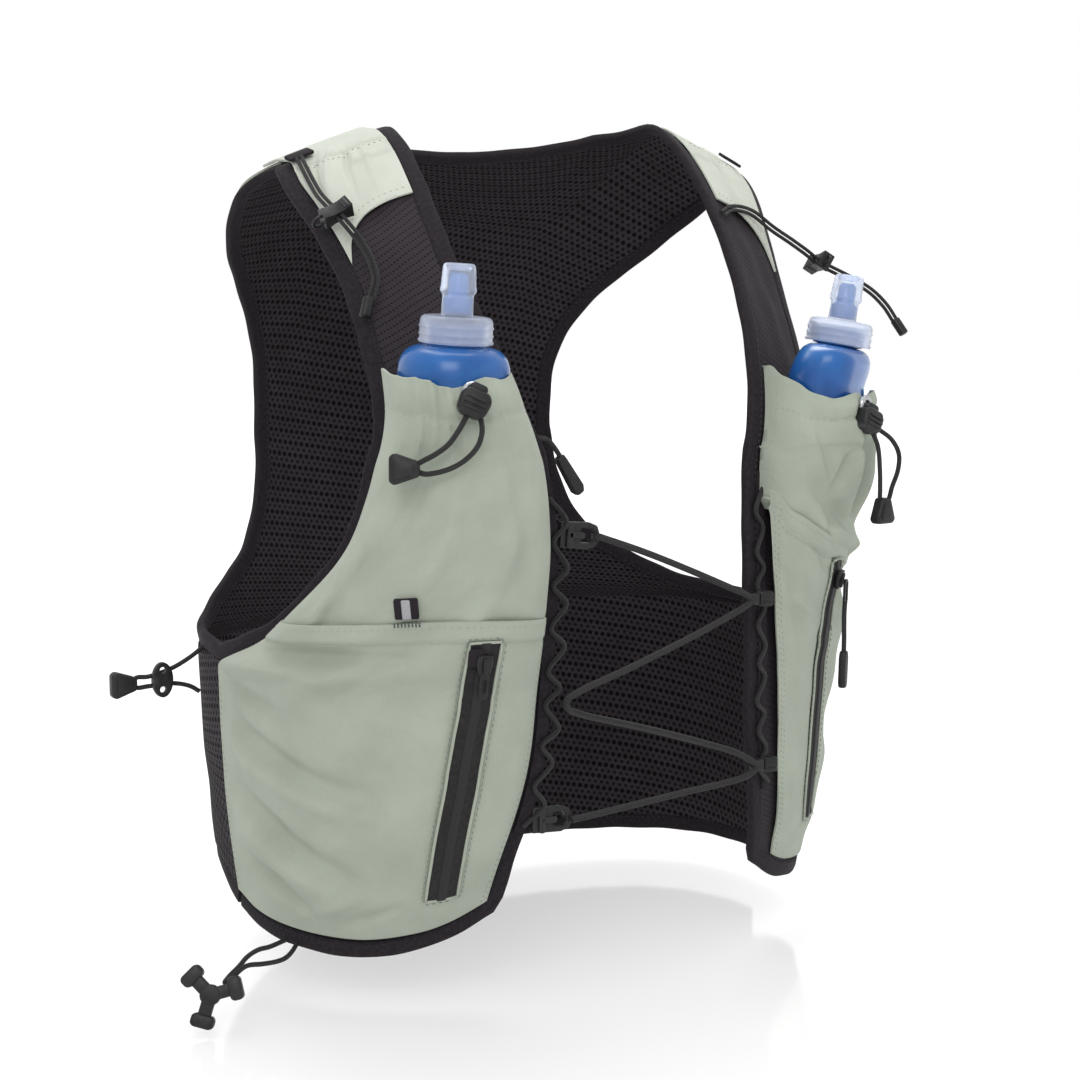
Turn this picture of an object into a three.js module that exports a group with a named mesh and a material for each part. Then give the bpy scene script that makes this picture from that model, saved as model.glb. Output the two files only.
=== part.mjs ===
import * as THREE from 'three';

// Running hydration vest, worn shape: millimetres, +X to the wearer's left, +Y to the back, +Z up.
// The origin lies between the shoulders, level with the neck ends of the two shoulder straps.

// Body that the vest wraps
const chest_half_breadth = 163;
const chest_front_depth = 130;
const chest_back_depth = 130;
const chest_drop = 160;
const body_drop = 240;
const section_power = 2.5;
const front_arch_power = 1.5;
const back_arch_power = 2.2;
const neck_half_width = 75;
const shoulder_rise = 2;
const shoulder_slope = 0.34;
const shoulder_rounding = 0.0006;
const shoulder_sway = 8;
const hem_sway = 6;
const left_rise = 11;

// Cloth and edges
const front_wall = 2.5;
const back_wall = 4;
const pocket_wall = 1.3;
const yoke_wall = 1.3;
const cover_wall = 1.5;
const binding_width = 9;
const binding_thickness = 4.6;
const clearance = 0.3;

// Pockets
const pocket_room = 58;
const right_fullness = 1;
const left_upper_fullness = 0.82;
const left_lower_fullness = 0.55;
const cover_room = 12;
const cover_gap = 2;
const zip_width = 14;
const zip_thickness = 1.2;
const zip_gap = 0.5;
const loop_width = 12;
const loop_height = 11;
const loop_thickness = 2;
const slider_width = 8;
const slider_length = 12;
const slider_thickness = 3;

// Flask, cap and bite valve
const flask_radius = 26.2;
const neck_radius = 12.6;
const cap_radius = 17;
const cap_height = 15;
const cap_wall = 3.2;
const cap_running_gap = 0.8;
const valve_radius = 7.8;
const valve_ridge_radius = 8.7;
const valve_height = 23;
const cap_lift = 17.6;
const right_lean_out = -1;
const left_lean_out = 8;
const lean_forward = 5;

// Cords, webbing and small fittings
const lacing_diameter = 3.3;
const loop_cord_diameter = 2.4;
const shoulder_cord_diameter = 2.8;
const webbing_width = 6;
const webbing_thickness = 1.2;
const daisy_reach = 5.5;
const daisy_bumps = 8;
const grommet_radius = 5;
const grommet_bore = 2.6;
const grommet_thickness = 1.2;
const lock_width = 15;
const lock_depth = 8;
const end_thickness = 6;
const tab_length = 28;
const tab_width = 7;
const tab_thickness = 1.4;
const toggle_width = 13;
const toggle_height = 8;
const toggle_length = 9;
const barrel_width = 5;
const barrel_length = 10;
const keeper_width = 11;
const keeper_height = 18;
const keeper_thickness = 3;
const keeper_bore = 1.7;
const arm_length = 15;
const arm_width = 5;
const knob_length = 4;
const knob_half = 4.4;
const hook_thickness = 4;
const lacing_hook_length = 20;
const lacing_hook_height = 11;
const clip_length = 15;
const clip_height = 7;
const clip_thickness = 3;
const grip_length = 22;
const grip_width = 6;

const sides = { right: -1, left: 1 };

// Each row is a level of the body: share of body_drop below the chest line, then shares of the chest sizes
const body_sections = [
  { level: 0, breadth: 1, front: 1, back: 1 },
  { level: -0.2, breadth: 1.008, front: 1.03, back: 0.935 },
  { level: -0.38, breadth: 1.03, front: 1.027, back: 0.85 },
  { level: -0.58, breadth: 1.04, front: 0.985, back: 0.805 },
  { level: -0.71, breadth: 1.04, front: 0.946, back: 0.785 },
  { level: -0.83, breadth: 1.03, front: 0.892, back: 0.77 },
  { level: -1.02, breadth: 1, front: 0.79, back: 0.75 },
];

// Levels above 0 climb the arch to the shoulder ridge at 1. Turns run from 0 at the side to 90 in the middle.
const front_edges = [
  { level: -1, inner: 62, outer: 0 },
  { level: -0.92, inner: 64, outer: 0 },
  { level: -0.82, inner: 66, outer: 0 },
  { level: -0.69, inner: 69, outer: 0 },
  { level: -0.58, inner: 70.8, outer: 0 },
  { level: -0.44, inner: 71.4, outer: 0 },
  { level: -0.415, inner: 71.5, outer: 5 },
  { level: -0.36, inner: 71.7, outer: 18 },
  { level: -0.275, inner: 71.9, outer: 28.3 },
  { level: -0.175, inner: 71.9, outer: 36.7 },
  { level: -0.083, inner: 71.4, outer: 40.7 },
  { level: 0, inner: 70.4, outer: 43 },
  { level: 0.12, inner: 68, outer: 45 },
  { level: 0.21, inner: 66.1, outer: 45.3 },
  { level: 0.34, inner: 63.3, outer: 44.7 },
  { level: 0.44, inner: 61.5, outer: 44.1 },
  { level: 0.55, inner: 60.8, outer: 41.7 },
  { level: 0.67, inner: 60.8, outer: 38.5 },
  { level: 0.8, inner: 61.2, outer: 35.8 },
  { level: 1, inner: 62, outer: 37.2 },
];
const back_edges = [
  { level: -1, edge: 0 },
  { level: -0.44, edge: 0 },
  { level: -0.425, edge: 18 },
  { level: -0.4, edge: 31 },
  { level: -0.32, edge: 48.8 },
  { level: -0.258, edge: 55.2 },
  { level: -0.13, edge: 60.1 },
  { level: 0, edge: 61.4 },
  { level: 0.11, edge: 61.1 },
  { level: 0.19, edge: 59.6 },
  { level: 0.29, edge: 55.7 },
  { level: 0.4, edge: 49.6 },
  { level: 0.52, edge: 41.8 },
  { level: 0.67, edge: 35 },
  { level: 0.8, edge: 31.8 },
  { level: 1, edge: 37.2 },
];
const cover_edges = [
  { level: -1, edge: 42 },
  { level: -0.6, edge: 44 },
  { level: -0.4, edge: 50 },
  { level: -0.258, edge: 56.4 },
  { level: -0.13, edge: 61 },
  { level: 0, edge: 62.4 },
  { level: 0.11, edge: 62 },
  { level: 0.19, edge: 60.4 },
  { level: 0.29, edge: 56.6 },
  { level: 0.4, edge: 50.6 },
  { level: 0.52, edge: 42.8 },
  { level: 0.67, edge: 36 },
  { level: 0.8, edge: 32.8 },
  { level: 1, edge: 38.2 },
];
const neck_edge = [
  { turn: 62, level: 1 },
  { turn: 63, level: 0.93 },
  { turn: 66.5, level: 0.846 },
  { turn: 72.6, level: 0.784 },
  { turn: 80, level: 0.748 },
  { turn: 90, level: 0.73 },
];
const front_hem = [
  { across: 0, lift: 0.085 },
  { across: 0.1, lift: 0.042 },
  { across: 0.2, lift: 0.018 },
  { across: 0.4, lift: 0 },
  { across: 0.7, lift: 0.008 },
  { across: 0.9, lift: 0.022 },
  { across: 1, lift: 0.045 },
];
const yoke_hem = [
  { across: 0, level: 0.63 },
  { across: 0.3, level: 0.625 },
  { across: 0.6, level: 0.6 },
  { across: 0.85, level: 0.55 },
  { across: 1, level: 0.49 },
];
// How far the filled pockets stand off the front panel, as shares of pocket_room
const pocket_swell = [
  { level: -0.99, room: 0 },
  { level: -0.93, room: 0.09 },
  { level: -0.84, room: 0.21 },
  { level: -0.7, room: 0.33 },
  { level: -0.55, room: 0.43 },
  { level: -0.4, room: 0.53 },
  { level: -0.3, room: 0.63 },
  { level: -0.15, room: 0.79 },
  { level: 0, room: 0.92 },
  { level: 0.12, room: 0.98 },
  { level: 0.24, room: 1 },
];
const front_bottom = -0.985;
const back_bottom = -1.015;
const cover_bottom = -1;
const cover_top = 0.99;
const mouth_level = 0.145;
const mouth_rise = 0.07;
const lower_top = -0.305;
const tuck_level = -0.345;
const skew_top = -0.3;
const skew_bottom = -0.5;

const toRadians = THREE.MathUtils.degToRad;
const lerp = THREE.MathUtils.lerp;

function read(table, key, at, column) {
  const last = table.length - 1;
  const rising = table[last][key] > table[0][key];
  let i = 0;
  while (i < last - 1 && (rising ? at > table[i + 1][key] : at < table[i + 1][key])) {
    i += 1;
  }
  const a = table[i];
  const b = table[i + 1];
  const before = table[Math.max(i - 1, 0)];
  const after = table[Math.min(i + 2, last)];
  const step = b[key] - a[key];
  const t = THREE.MathUtils.clamp((at - a[key]) / step, 0, 1);
  const straight = (b[column] - a[column]) / step;
  const slope = (p, q) => (q === p ? straight : (q[column] - p[column]) / (q[key] - p[key]));
  const limit = (value) => (value * straight <= 0 ? 0 : Math.sign(straight)
    * Math.min(Math.abs(value), 3 * Math.abs(straight)));
  const startSlope = i === 0 ? straight : limit(slope(before, b));
  const endSlope = i === last - 1 ? straight : limit(slope(a, after));
  const t2 = t * t;
  const t3 = t2 * t;
  return (2 * t3 - 3 * t2 + 1) * a[column] + (t3 - 2 * t2 + t) * step * startSlope
    + (3 * t2 - 2 * t3) * b[column] + (t3 - t2) * step * endSlope;
}

// Shared points of the body form
function ridgeHeight(x) {
  const out = Math.max(Math.abs(x) - neck_half_width, 0);
  return shoulder_rise - shoulder_slope * out - shoulder_rounding * out * out;
}

function formPoint(side, face, turn, level) {
  const angle = toRadians(turn);
  const below = Math.min(level, 0);
  const breadth = chest_half_breadth * read(body_sections, 'level', below, 'breadth');
  const depth = face < 0
    ? chest_front_depth * read(body_sections, 'level', below, 'front')
    : chest_back_depth * read(body_sections, 'level', below, 'back');
  const x = side * breadth * Math.pow(Math.max(Math.cos(angle), 0), 2 / section_power);
  let y = depth * Math.pow(Math.max(Math.sin(angle), 0), 2 / section_power);
  let z = -chest_drop + below * body_drop;
  if (level > 0) {
    const power = 2 / (face < 0 ? front_arch_power : back_arch_power);
    const climb = toRadians(90 * Math.min(level, 1));
    z += (ridgeHeight(x) + chest_drop) * Math.pow(Math.sin(climb), power);
    y *= Math.pow(Math.max(Math.cos(climb), 0), power);
  }
  const upper = THREE.MathUtils.smoothstep(level, 0.35, 1);
  const lower = THREE.MathUtils.smoothstep(-level, 0.3, 1);
  const leftward = THREE.MathUtils.smoothstep(x, -0.8 * neck_half_width, 1.2 * neck_half_width);
  const swayed = x + shoulder_sway * upper + hem_sway * lower;
  return new THREE.Vector3(swayed, face * (y + clearance / 2), z + left_rise * upper * leftward);
}

function frontPoint(side, across, level) {
  const fade = Math.max((-level - 0.7) / (-front_bottom - 0.7), 0) ** 2;
  const lifted = level + read(front_hem, 'across', across, 'lift') * fade;
  const inner = read(front_edges, 'level', lifted, 'inner');
  const outer = read(front_edges, 'level', lifted, 'outer');
  return formPoint(side, -1, lerp(inner, outer, across), lifted);
}

const neck_share = 0.47;
const back_columns = [0, 0.16, 0.32, neck_share, 0.6, 0.78, 1];

function backPoint(edges, share, level, topLevel) {
  const ridgeTurn = lerp(edges[edges.length - 1].edge, 90, Math.abs(share));
  const neck = ridgeTurn < neck_edge[0].turn ? 1 : read(neck_edge, 'turn', ridgeTurn, 'level');
  const shoulderStart = 0.5;
  const top = Math.min(neck, topLevel);
  const climbed = level <= shoulderStart ? level
    : lerp(shoulderStart, top, (level - shoulderStart) / (1 - shoulderStart));
  const turn = lerp(read(edges, 'level', climbed, 'edge'), 90, Math.abs(share));
  return (side) => formPoint(side, 1, turn, climbed);
}

// Mesh making
function outwardFrom(point) {
  return new THREE.Vector3(point.x * 0.4, point.y, point.z - Math.min(point.z, -chest_drop));
}

function gridNormals(grid) {
  return grid.map((row, j) => row.map((point, i) => {
    const left = row[Math.max(i - 1, 0)];
    const right = row[Math.min(i + 1, row.length - 1)];
    const down = grid[Math.max(j - 1, 0)][i];
    const up = grid[Math.min(j + 1, grid.length - 1)][i];
    const normal = new THREE.Vector3().crossVectors(
      new THREE.Vector3().subVectors(right, left),
      new THREE.Vector3().subVectors(up, down),
    ).normalize();
    return normal.dot(outwardFrom(point)) < 0 ? normal.negate() : normal;
  }));
}

function makeGrid(levels, shares, pointAt) {
  return levels.map((level) => shares.map((share) => pointAt(share, level)));
}

function shiftGrid(grid, normals, distanceAt) {
  return grid.map((row, j) => row.map((point, i) => point.clone()
    .addScaledVector(normals[j][i], distanceAt(i, j))));
}

function solidFrom(positions, faces) {
  let volume = 0;
  faces.forEach(([a, b, c]) => {
    volume += positions[a].dot(new THREE.Vector3().crossVectors(positions[b], positions[c]));
  });
  const geometry = new THREE.BufferGeometry();
  const numbers = positions.flatMap((point) => [point.x, point.y, point.z]);
  const order = faces.flatMap(([a, b, c]) => (volume < 0 ? [a, c, b] : [a, b, c]));
  geometry.setAttribute('position', new THREE.Float32BufferAttribute(numbers, 3));
  geometry.setIndex(order);
  geometry.computeVertexNormals();
  return geometry;
}

function sheetSolid(outer, inner) {
  const rows = outer.length;
  const columns = outer[0].length;
  const positions = [...outer.flat(), ...inner.flat()];
  const faces = [];
  const index = (layer, j, i) => layer * rows * columns + j * columns + i;
  const quad = (a, b, c, d) => faces.push([a, b, c], [a, c, d]);
  for (let j = 0; j < rows - 1; j += 1) {
    for (let i = 0; i < columns - 1; i += 1) {
      quad(index(0, j, i), index(0, j, i + 1), index(0, j + 1, i + 1), index(0, j + 1, i));
      quad(index(1, j, i), index(1, j + 1, i), index(1, j + 1, i + 1), index(1, j, i + 1));
    }
    quad(index(0, j, 0), index(0, j + 1, 0), index(1, j + 1, 0), index(1, j, 0));
    const end = columns - 1;
    quad(index(0, j, end), index(1, j, end), index(1, j + 1, end), index(0, j + 1, end));
  }
  for (let i = 0; i < columns - 1; i += 1) {
    quad(index(0, 0, i), index(1, 0, i), index(1, 0, i + 1), index(0, 0, i + 1));
    const top = rows - 1;
    quad(index(0, top, i), index(0, top, i + 1), index(1, top, i + 1), index(1, top, i));
  }
  return solidFrom(positions, faces);
}

function ringSolid(rings, closed) {
  const count = rings[0].length;
  const positions = rings.flat();
  const faces = [];
  const last = closed ? rings.length : rings.length - 1;
  for (let j = 0; j < last; j += 1) {
    const next = (j + 1) % rings.length;
    for (let i = 0; i < count; i += 1) {
      const k = (i + 1) % count;
      faces.push([j * count + i, j * count + k, next * count + k]);
      faces.push([j * count + i, next * count + k, next * count + i]);
    }
  }
  if (!closed) {
    for (let i = 1; i < count - 1; i += 1) {
      faces.push([0, i + 1, i]);
      const end = (rings.length - 1) * count;
      faces.push([end, end + i, end + i + 1]);
    }
  }
  return solidFrom(positions, faces);
}

const vest = new THREE.Group();

function addPiece(name, geometry, finish, parent = vest) {
  const mesh = new THREE.Mesh(geometry, new THREE.MeshStandardMaterial(finish));
  mesh.name = name;
  parent.add(mesh);
  return mesh;
}

const sage = { color: 0xa9b5a2, roughness: 0.8, metalness: 0 };
const mesh_black = { color: 0x1d1a1e, roughness: 0.9, metalness: 0 };
const tape_black = { color: 0x242127, roughness: 0.85, metalness: 0 };
const plastic_black = { color: 0x2a2a2d, roughness: 0.5, metalness: 0 };
const cord_black = { color: 0x35343a, roughness: 0.8, metalness: 0 };
const flask_blue = { color: 0x1f6ec0, roughness: 0.3, metalness: 0 };
const cap_milky = { color: 0xc9cde2, roughness: 0.4, metalness: 0 };
const steel = { color: 0xb9bcc0, roughness: 0.35, metalness: 1 };
const reflective = { color: 0x77797d, roughness: 0.4, metalness: 0.1 };

// Front panels and shoulder straps: two strips of mesh cloth, from the hem up over the shoulder ridge
const front_levels = [front_bottom, -0.93, -0.86, -0.74, -0.62, -0.51, -0.44, -0.4, -0.35, -0.27,
  -0.15, 0.02, 0.18, 0.34, 0.5, 0.66, 0.8, 0.91, 1];
const front_shares = [0, 0.14, 0.36, 0.64, 0.86, 1];
const fronts = {};
for (const [name, side] of Object.entries(sides)) {
  const base = makeGrid(front_levels, front_shares, (share, level) => frontPoint(side, share, level));
  const normals = gridNormals(base);
  fronts[name] = { base, normals };
  const outer = shiftGrid(base, normals, () => front_wall);
  addPiece(`front_panel_${name}`, sheetSolid(outer, base), mesh_black);
}

// Back panel: one sheet of spacer mesh with side wings that meet the front panels at the side seams
const back_levels = [back_bottom, -0.84, -0.68, -0.54, -0.44, -0.425, -0.4, -0.34, -0.26, -0.16, -0.04,
  0.1, 0.24, 0.38, 0.52, 0.65, 0.78, 0.9, 1];
const both_sides = [...back_columns.map((share) => ({ side: -1, share })),
  ...back_columns.slice(0, -1).reverse().map((share) => ({ side: 1, share }))];
const back_base = makeGrid(back_levels, both_sides, ({ side, share }, level) => (
  backPoint(back_edges, share, level, 1)(side)));
const back_normals = gridNormals(back_base);
addPiece('back_panel', sheetSolid(shiftGrid(back_base, back_normals, () => back_wall), back_base), mesh_black);

// Back cover: the outer cloth of the storage pocket, sewn to the back panel along its edges
const cover_levels = [cover_bottom, -0.8, -0.6, -0.42, -0.26, -0.1, 0.1, 0.3, 0.5, 0.7, 0.86, 1];
const cover_columns = both_sides;
const cover_base = makeGrid(cover_levels, cover_columns, ({ side, share }, level) => (
  backPoint(cover_edges, share, level, cover_top)(side)));
const cover_normals = gridNormals(cover_base);
function coverSwell(i, j) {
  const share = cover_columns[i].share;
  const height = (cover_levels[j] - cover_bottom) / (0.5 - cover_bottom);
  const rise = height > 1 ? 0 : Math.sin(Math.PI * height) ** 0.6;
  return cover_room * rise * (1 - (1 - share) ** 2.4);
}
const cover_seat = back_wall + cover_gap;
const coverAt = (lift) => shiftGrid(cover_base, cover_normals, (i, j) => cover_seat + lift + coverSwell(i, j));
addPiece('back_cover', sheetSolid(coverAt(cover_wall), coverAt(0)), sage);

// Bindings: flat tape folded over each raw edge, modelled as a rounded band just beyond the cloth
function bandRings(stations, closed, width, thickness) {
  const half = width / 2;
  const deep = thickness / 2;
  const cut = thickness * 0.4;
  const corners = [[-half, 0], [-half + cut, -deep], [half - cut, -deep], [half, 0],
    [half - cut, deep], [-half + cut, deep]];
  return stations.map((station) => corners.map(([a, b]) => station.point.clone()
    .addScaledVector(station.across, a)
    .addScaledVector(station.normal, b)));
}

function edgeStations(border, closed, lift, outward) {
  const count = border.length;
  return border.map(({ point, cloth, inside }, i) => {
    if (!closed && (i === 0 || i === count - 1)) {
      const out = new THREE.Vector3(Math.sign(point.x), 0, 0);
      const down = new THREE.Vector3(0, 0, -1);
      const shifted = point.clone().addScaledVector(out, lift).addScaledVector(down, outward);
      return { point: shifted, across: down, normal: out };
    }
    const before = border[closed ? (i + count - 1) % count : Math.max(i - 1, 0)].point;
    const after = border[closed ? (i + 1) % count : Math.min(i + 1, count - 1)].point;
    const along = new THREE.Vector3().subVectors(after, before).normalize();
    const across = new THREE.Vector3().crossVectors(along, cloth).normalize();
    if (across.dot(new THREE.Vector3().subVectors(point, inside)) < 0) {
      across.negate();
    }
    const normal = new THREE.Vector3().crossVectors(across, along).normalize();
    if (normal.dot(cloth) < 0) {
      normal.negate();
    }
    return {
      point: point.clone().addScaledVector(normal, lift).addScaledVector(across, outward),
      across,
      normal,
    };
  });
}

// A border lists the points along an edge, each with the cloth's normal and a point further inside and below
function columnBorder({ base, normals }, i, inner) {
  return base.map((row, j) => ({
    point: row[i],
    cloth: normals[j][i],
    inside: base[Math.max(j - 1, 0)][inner],
  }));
}

function rowBorder({ base, normals }, j, inner) {
  return base[j].map((point, i) => ({ point, cloth: normals[j][i], inside: base[inner][i] }));
}

const back = { base: back_base, normals: back_normals };
const last_share = front_shares.length - 1;
const last_column = both_sides.length - 1;
const last_row = back_levels.length - 1;
const binding_out = clearance + binding_width / 2;
const armhole_bottom = -0.441;
const armhole_slack = 0.86;

// Armhole bindings, each a closed loop round the strap, the wing and the side of the back
for (const [name, side] of Object.entries(sides)) {
  const edge = side < 0 ? 0 : last_column;
  const frontBorder = columnBorder(fronts[name], last_share, last_share - 1)
    .filter((station, j) => front_levels[j] >= armhole_bottom);
  const backBorder = columnBorder(back, edge, edge === 0 ? 1 : edge - 1)
    .filter((station, j) => back_levels[j] >= armhole_bottom);
  const border = [...frontBorder.reverse().slice(0, -1), ...backBorder.slice(0, -1)];
  const stations = edgeStations(border, true, front_wall / 2, binding_out + armhole_slack);
  addPiece(`armhole_binding_${name}`,
    ringSolid(bandRings(stations, true, binding_width, binding_thickness), true), tape_black);
}

// Neck binding, from the right side seam round the hem, up the front, round the neck and down the left
function frontBorder(name) {
  const hem = rowBorder(fronts[name], 0, 1).reverse();
  return [...hem, ...columnBorder(fronts[name], 0, 1).slice(1, -1)];
}
const neckline = both_sides.map(({ side, share }, i) => ({
  share,
  point: back_base[last_row][i],
  cloth: back_normals[last_row][i],
  inside: back_base[last_row - 2][share === 1 ? i : i + 2 * side],
})).filter(({ share }) => share >= neck_share);
const neck_border = [...frontBorder('right'), ...neckline, ...frontBorder('left').reverse()];
const neck_stations = edgeStations(neck_border, false, front_wall / 2, binding_out);
addPiece('neck_binding',
  ringSolid(bandRings(neck_stations, false, binding_width, binding_thickness), false), tape_black);

// Back hem binding, between the two side seams
const hem_stations = edgeStations(rowBorder(back, 0, 1), false, back_wall / 2, binding_out);
addPiece('back_hem_binding',
  ringSolid(bandRings(hem_stations, false, binding_width, binding_thickness), false), tape_black);

// Frames on the front panel and on the filled pockets, from small steps along the cloth
const probe = 0.004;

function frameOf(pointAt, across, level) {
  const left = pointAt(Math.max(across - probe, 0), level);
  const right = pointAt(Math.min(across + probe, 1), level);
  const low = pointAt(across, Math.max(level - probe, front_bottom));
  const high = pointAt(across, Math.min(level + probe, 1));
  const point = pointAt(across, level);
  const sideways = new THREE.Vector3().subVectors(right, left).normalize();
  const up = new THREE.Vector3().subVectors(high, low).normalize();
  const normal = new THREE.Vector3().crossVectors(sideways, up).normalize();
  if (normal.dot(outwardFrom(point)) < 0) {
    normal.negate();
  }
  return { point, sideways, up, normal };
}

function pocketShape(across, level) {
  const even = Math.sqrt(Math.max(4 * across * (1 - across), 0)) ** 0.7;
  const skewed = 2.9 * across ** 0.5 * (1 - across) ** 1.3;
  return lerp(even, skewed, THREE.MathUtils.smoothstep(-level, -skew_top, -skew_bottom));
}

function pocketRoom(name, level) {
  const left = lerp(left_lower_fullness, left_upper_fullness, THREE.MathUtils.smoothstep(level, -0.45, -0.1));
  const fullness = name === 'right' ? right_fullness : left;
  return pocket_room * fullness * read(pocket_swell, 'level', level, 'room');
}

const pocket_seat = front_wall + clearance + pocket_wall;

function pocketPoint(name, across, level, stand) {
  const { point, normal } = frameOf((a, l) => frontPoint(sides[name], a, l), across, level);
  const height = pocket_seat + pocketRoom(name, level) * pocketShape(across, level) + stand;
  return point.addScaledVector(normal, height);
}

function hintedNormals(grid, hints) {
  return gridNormals(grid).map((row, j) => row.map((normal, i) => (
    normal.dot(hints[j][i]) < 0 ? normal.negate() : normal)));
}

// Bottle pockets stay open at the mouth and tuck behind the lower pockets. Lower pockets cover the hem end.
const pocket_steps = 9;
const pocket_shares = Array.from({ length: pocket_steps + 1 }, (v, i) => (
  (1 - Math.cos(Math.PI * i / pocket_steps)) / 2));
const bottle_levels = [tuck_level, -0.3, -0.22, -0.14, -0.06, 0.02, 0.09, mouth_level];
const lower_shares = [0, 0.03, 0.1, 0.2, 0.32, 0.46, 0.62, 0.78, 0.92, 1];
const lower_levels = [-0.965, -0.92, -0.85, -0.77, -0.69, -0.6, -0.51, -0.44, -0.4, -0.35, lower_top];
const tuck_margin = 0.06;
const lower_stand = 2.2;

function pocketGrid(side, levels, shares, pointAt) {
  const outer = makeGrid(levels, shares, pointAt);
  const hints = makeGrid(levels, shares, (share, level) => (
    frameOf((a, l) => frontPoint(side, a, l), share, level).normal));
  const inner = shiftGrid(outer, hintedNormals(outer, hints), () => -pocket_wall);
  return sheetSolid(outer, inner);
}

function lowerStand(level) {
  return lower_stand * THREE.MathUtils.smoothstep(level, -0.5, -0.38);
}

function lowerPocketPoint(name, across, level) {
  const edge = Math.min(1, 8 * across, 8 - 8 * across);
  return pocketPoint(name, across, level, lowerStand(level) * edge);
}

function bottlePocketPoint(name, share, level) {
  const margin = tuck_margin * THREE.MathUtils.smoothstep(-level, -lower_top - 0.1, -lower_top);
  const across = lerp(margin, 1 - margin, share);
  const corner = mouth_rise * (1 - 2 * share) ** 2 * THREE.MathUtils.smoothstep(level, 0, mouth_level);
  const { point, normal } = frameOf((a, l) => frontPoint(sides[name], a, l), across, level + corner);
  return point.addScaledVector(normal, pocket_seat + pocketRoom(name, level) * pocketShape(share, level));
}

for (const [name, side] of Object.entries(sides)) {
  addPiece(`bottle_pocket_${name}`, pocketGrid(side, bottle_levels, pocket_shares,
    (share, level) => bottlePocketPoint(name, share, level)), sage);
  addPiece(`lower_pocket_${name}`, pocketGrid(side, lower_levels, lower_shares,
    (share, level) => lowerPocketPoint(name, share, level)), sage);
}

// Yokes: a cloth facing over the top of each strap, cut to a point at the armhole
const yoke_shares = [0, 0.3, 0.6, 0.85, 1];
const yoke_steps = [0, 0.2, 0.4, 0.6, 0.8, 1];
const yoke_top = 0.995;
const yoke_gap = 0.8;
for (const [name, side] of Object.entries(sides)) {
  const yokeGrid = (lift) => makeGrid(yoke_steps, yoke_shares, (share, step) => {
    const level = lerp(read(yoke_hem, 'across', share, 'level'), yoke_top, step);
    const { point, normal } = frameOf((a, l) => frontPoint(side, a, l), share, level);
    return point.addScaledVector(normal, front_wall + yoke_gap + lift);
  });
  addPiece(`shoulder_yoke_${name}`, sheetSolid(yokeGrid(yoke_wall), yokeGrid(0)), sage);
}

// Pocket zips: a coated coil zip let into each lower pocket
const zip_line = [
  { level: -0.86, right: 0.156, left: 0.224 },
  { level: -0.79, right: 0.166, left: 0.188 },
  { level: -0.72, right: 0.176, left: 0.174 },
  { level: -0.65, right: 0.18, left: 0.174 },
  { level: -0.58, right: 0.18, left: 0.176 },
  { level: -0.51, right: 0.174, left: 0.176 },
  { level: -0.44, right: 0.166, left: 0.168 },
  { level: -0.37, right: 0.206, left: 0.196 },
  { level: -0.33, right: 0.226, left: 0.21 },
];
const slider_level = -0.37;

function zipFrame(name, level) {
  return frameOf((a, l) => lowerPocketPoint(name, a, l), read(zip_line, 'level', level, name), level);
}

const zip_levels = zip_line.map(({ level }) => level);
const zip_sides = [-zip_width / 2, 0, zip_width / 2];
for (const name of Object.keys(sides)) {
  const zipGrid = (lift) => makeGrid(zip_levels, zip_sides, (aside, level) => {
    const frame = zipFrame(name, level);
    return frame.point.addScaledVector(frame.sideways, aside).addScaledVector(frame.normal, zip_gap + lift);
  });
  addPiece(`pocket_zip_${name}`, sheetSolid(zipGrid(zip_thickness), zipGrid(0)), plastic_black);
}

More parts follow.
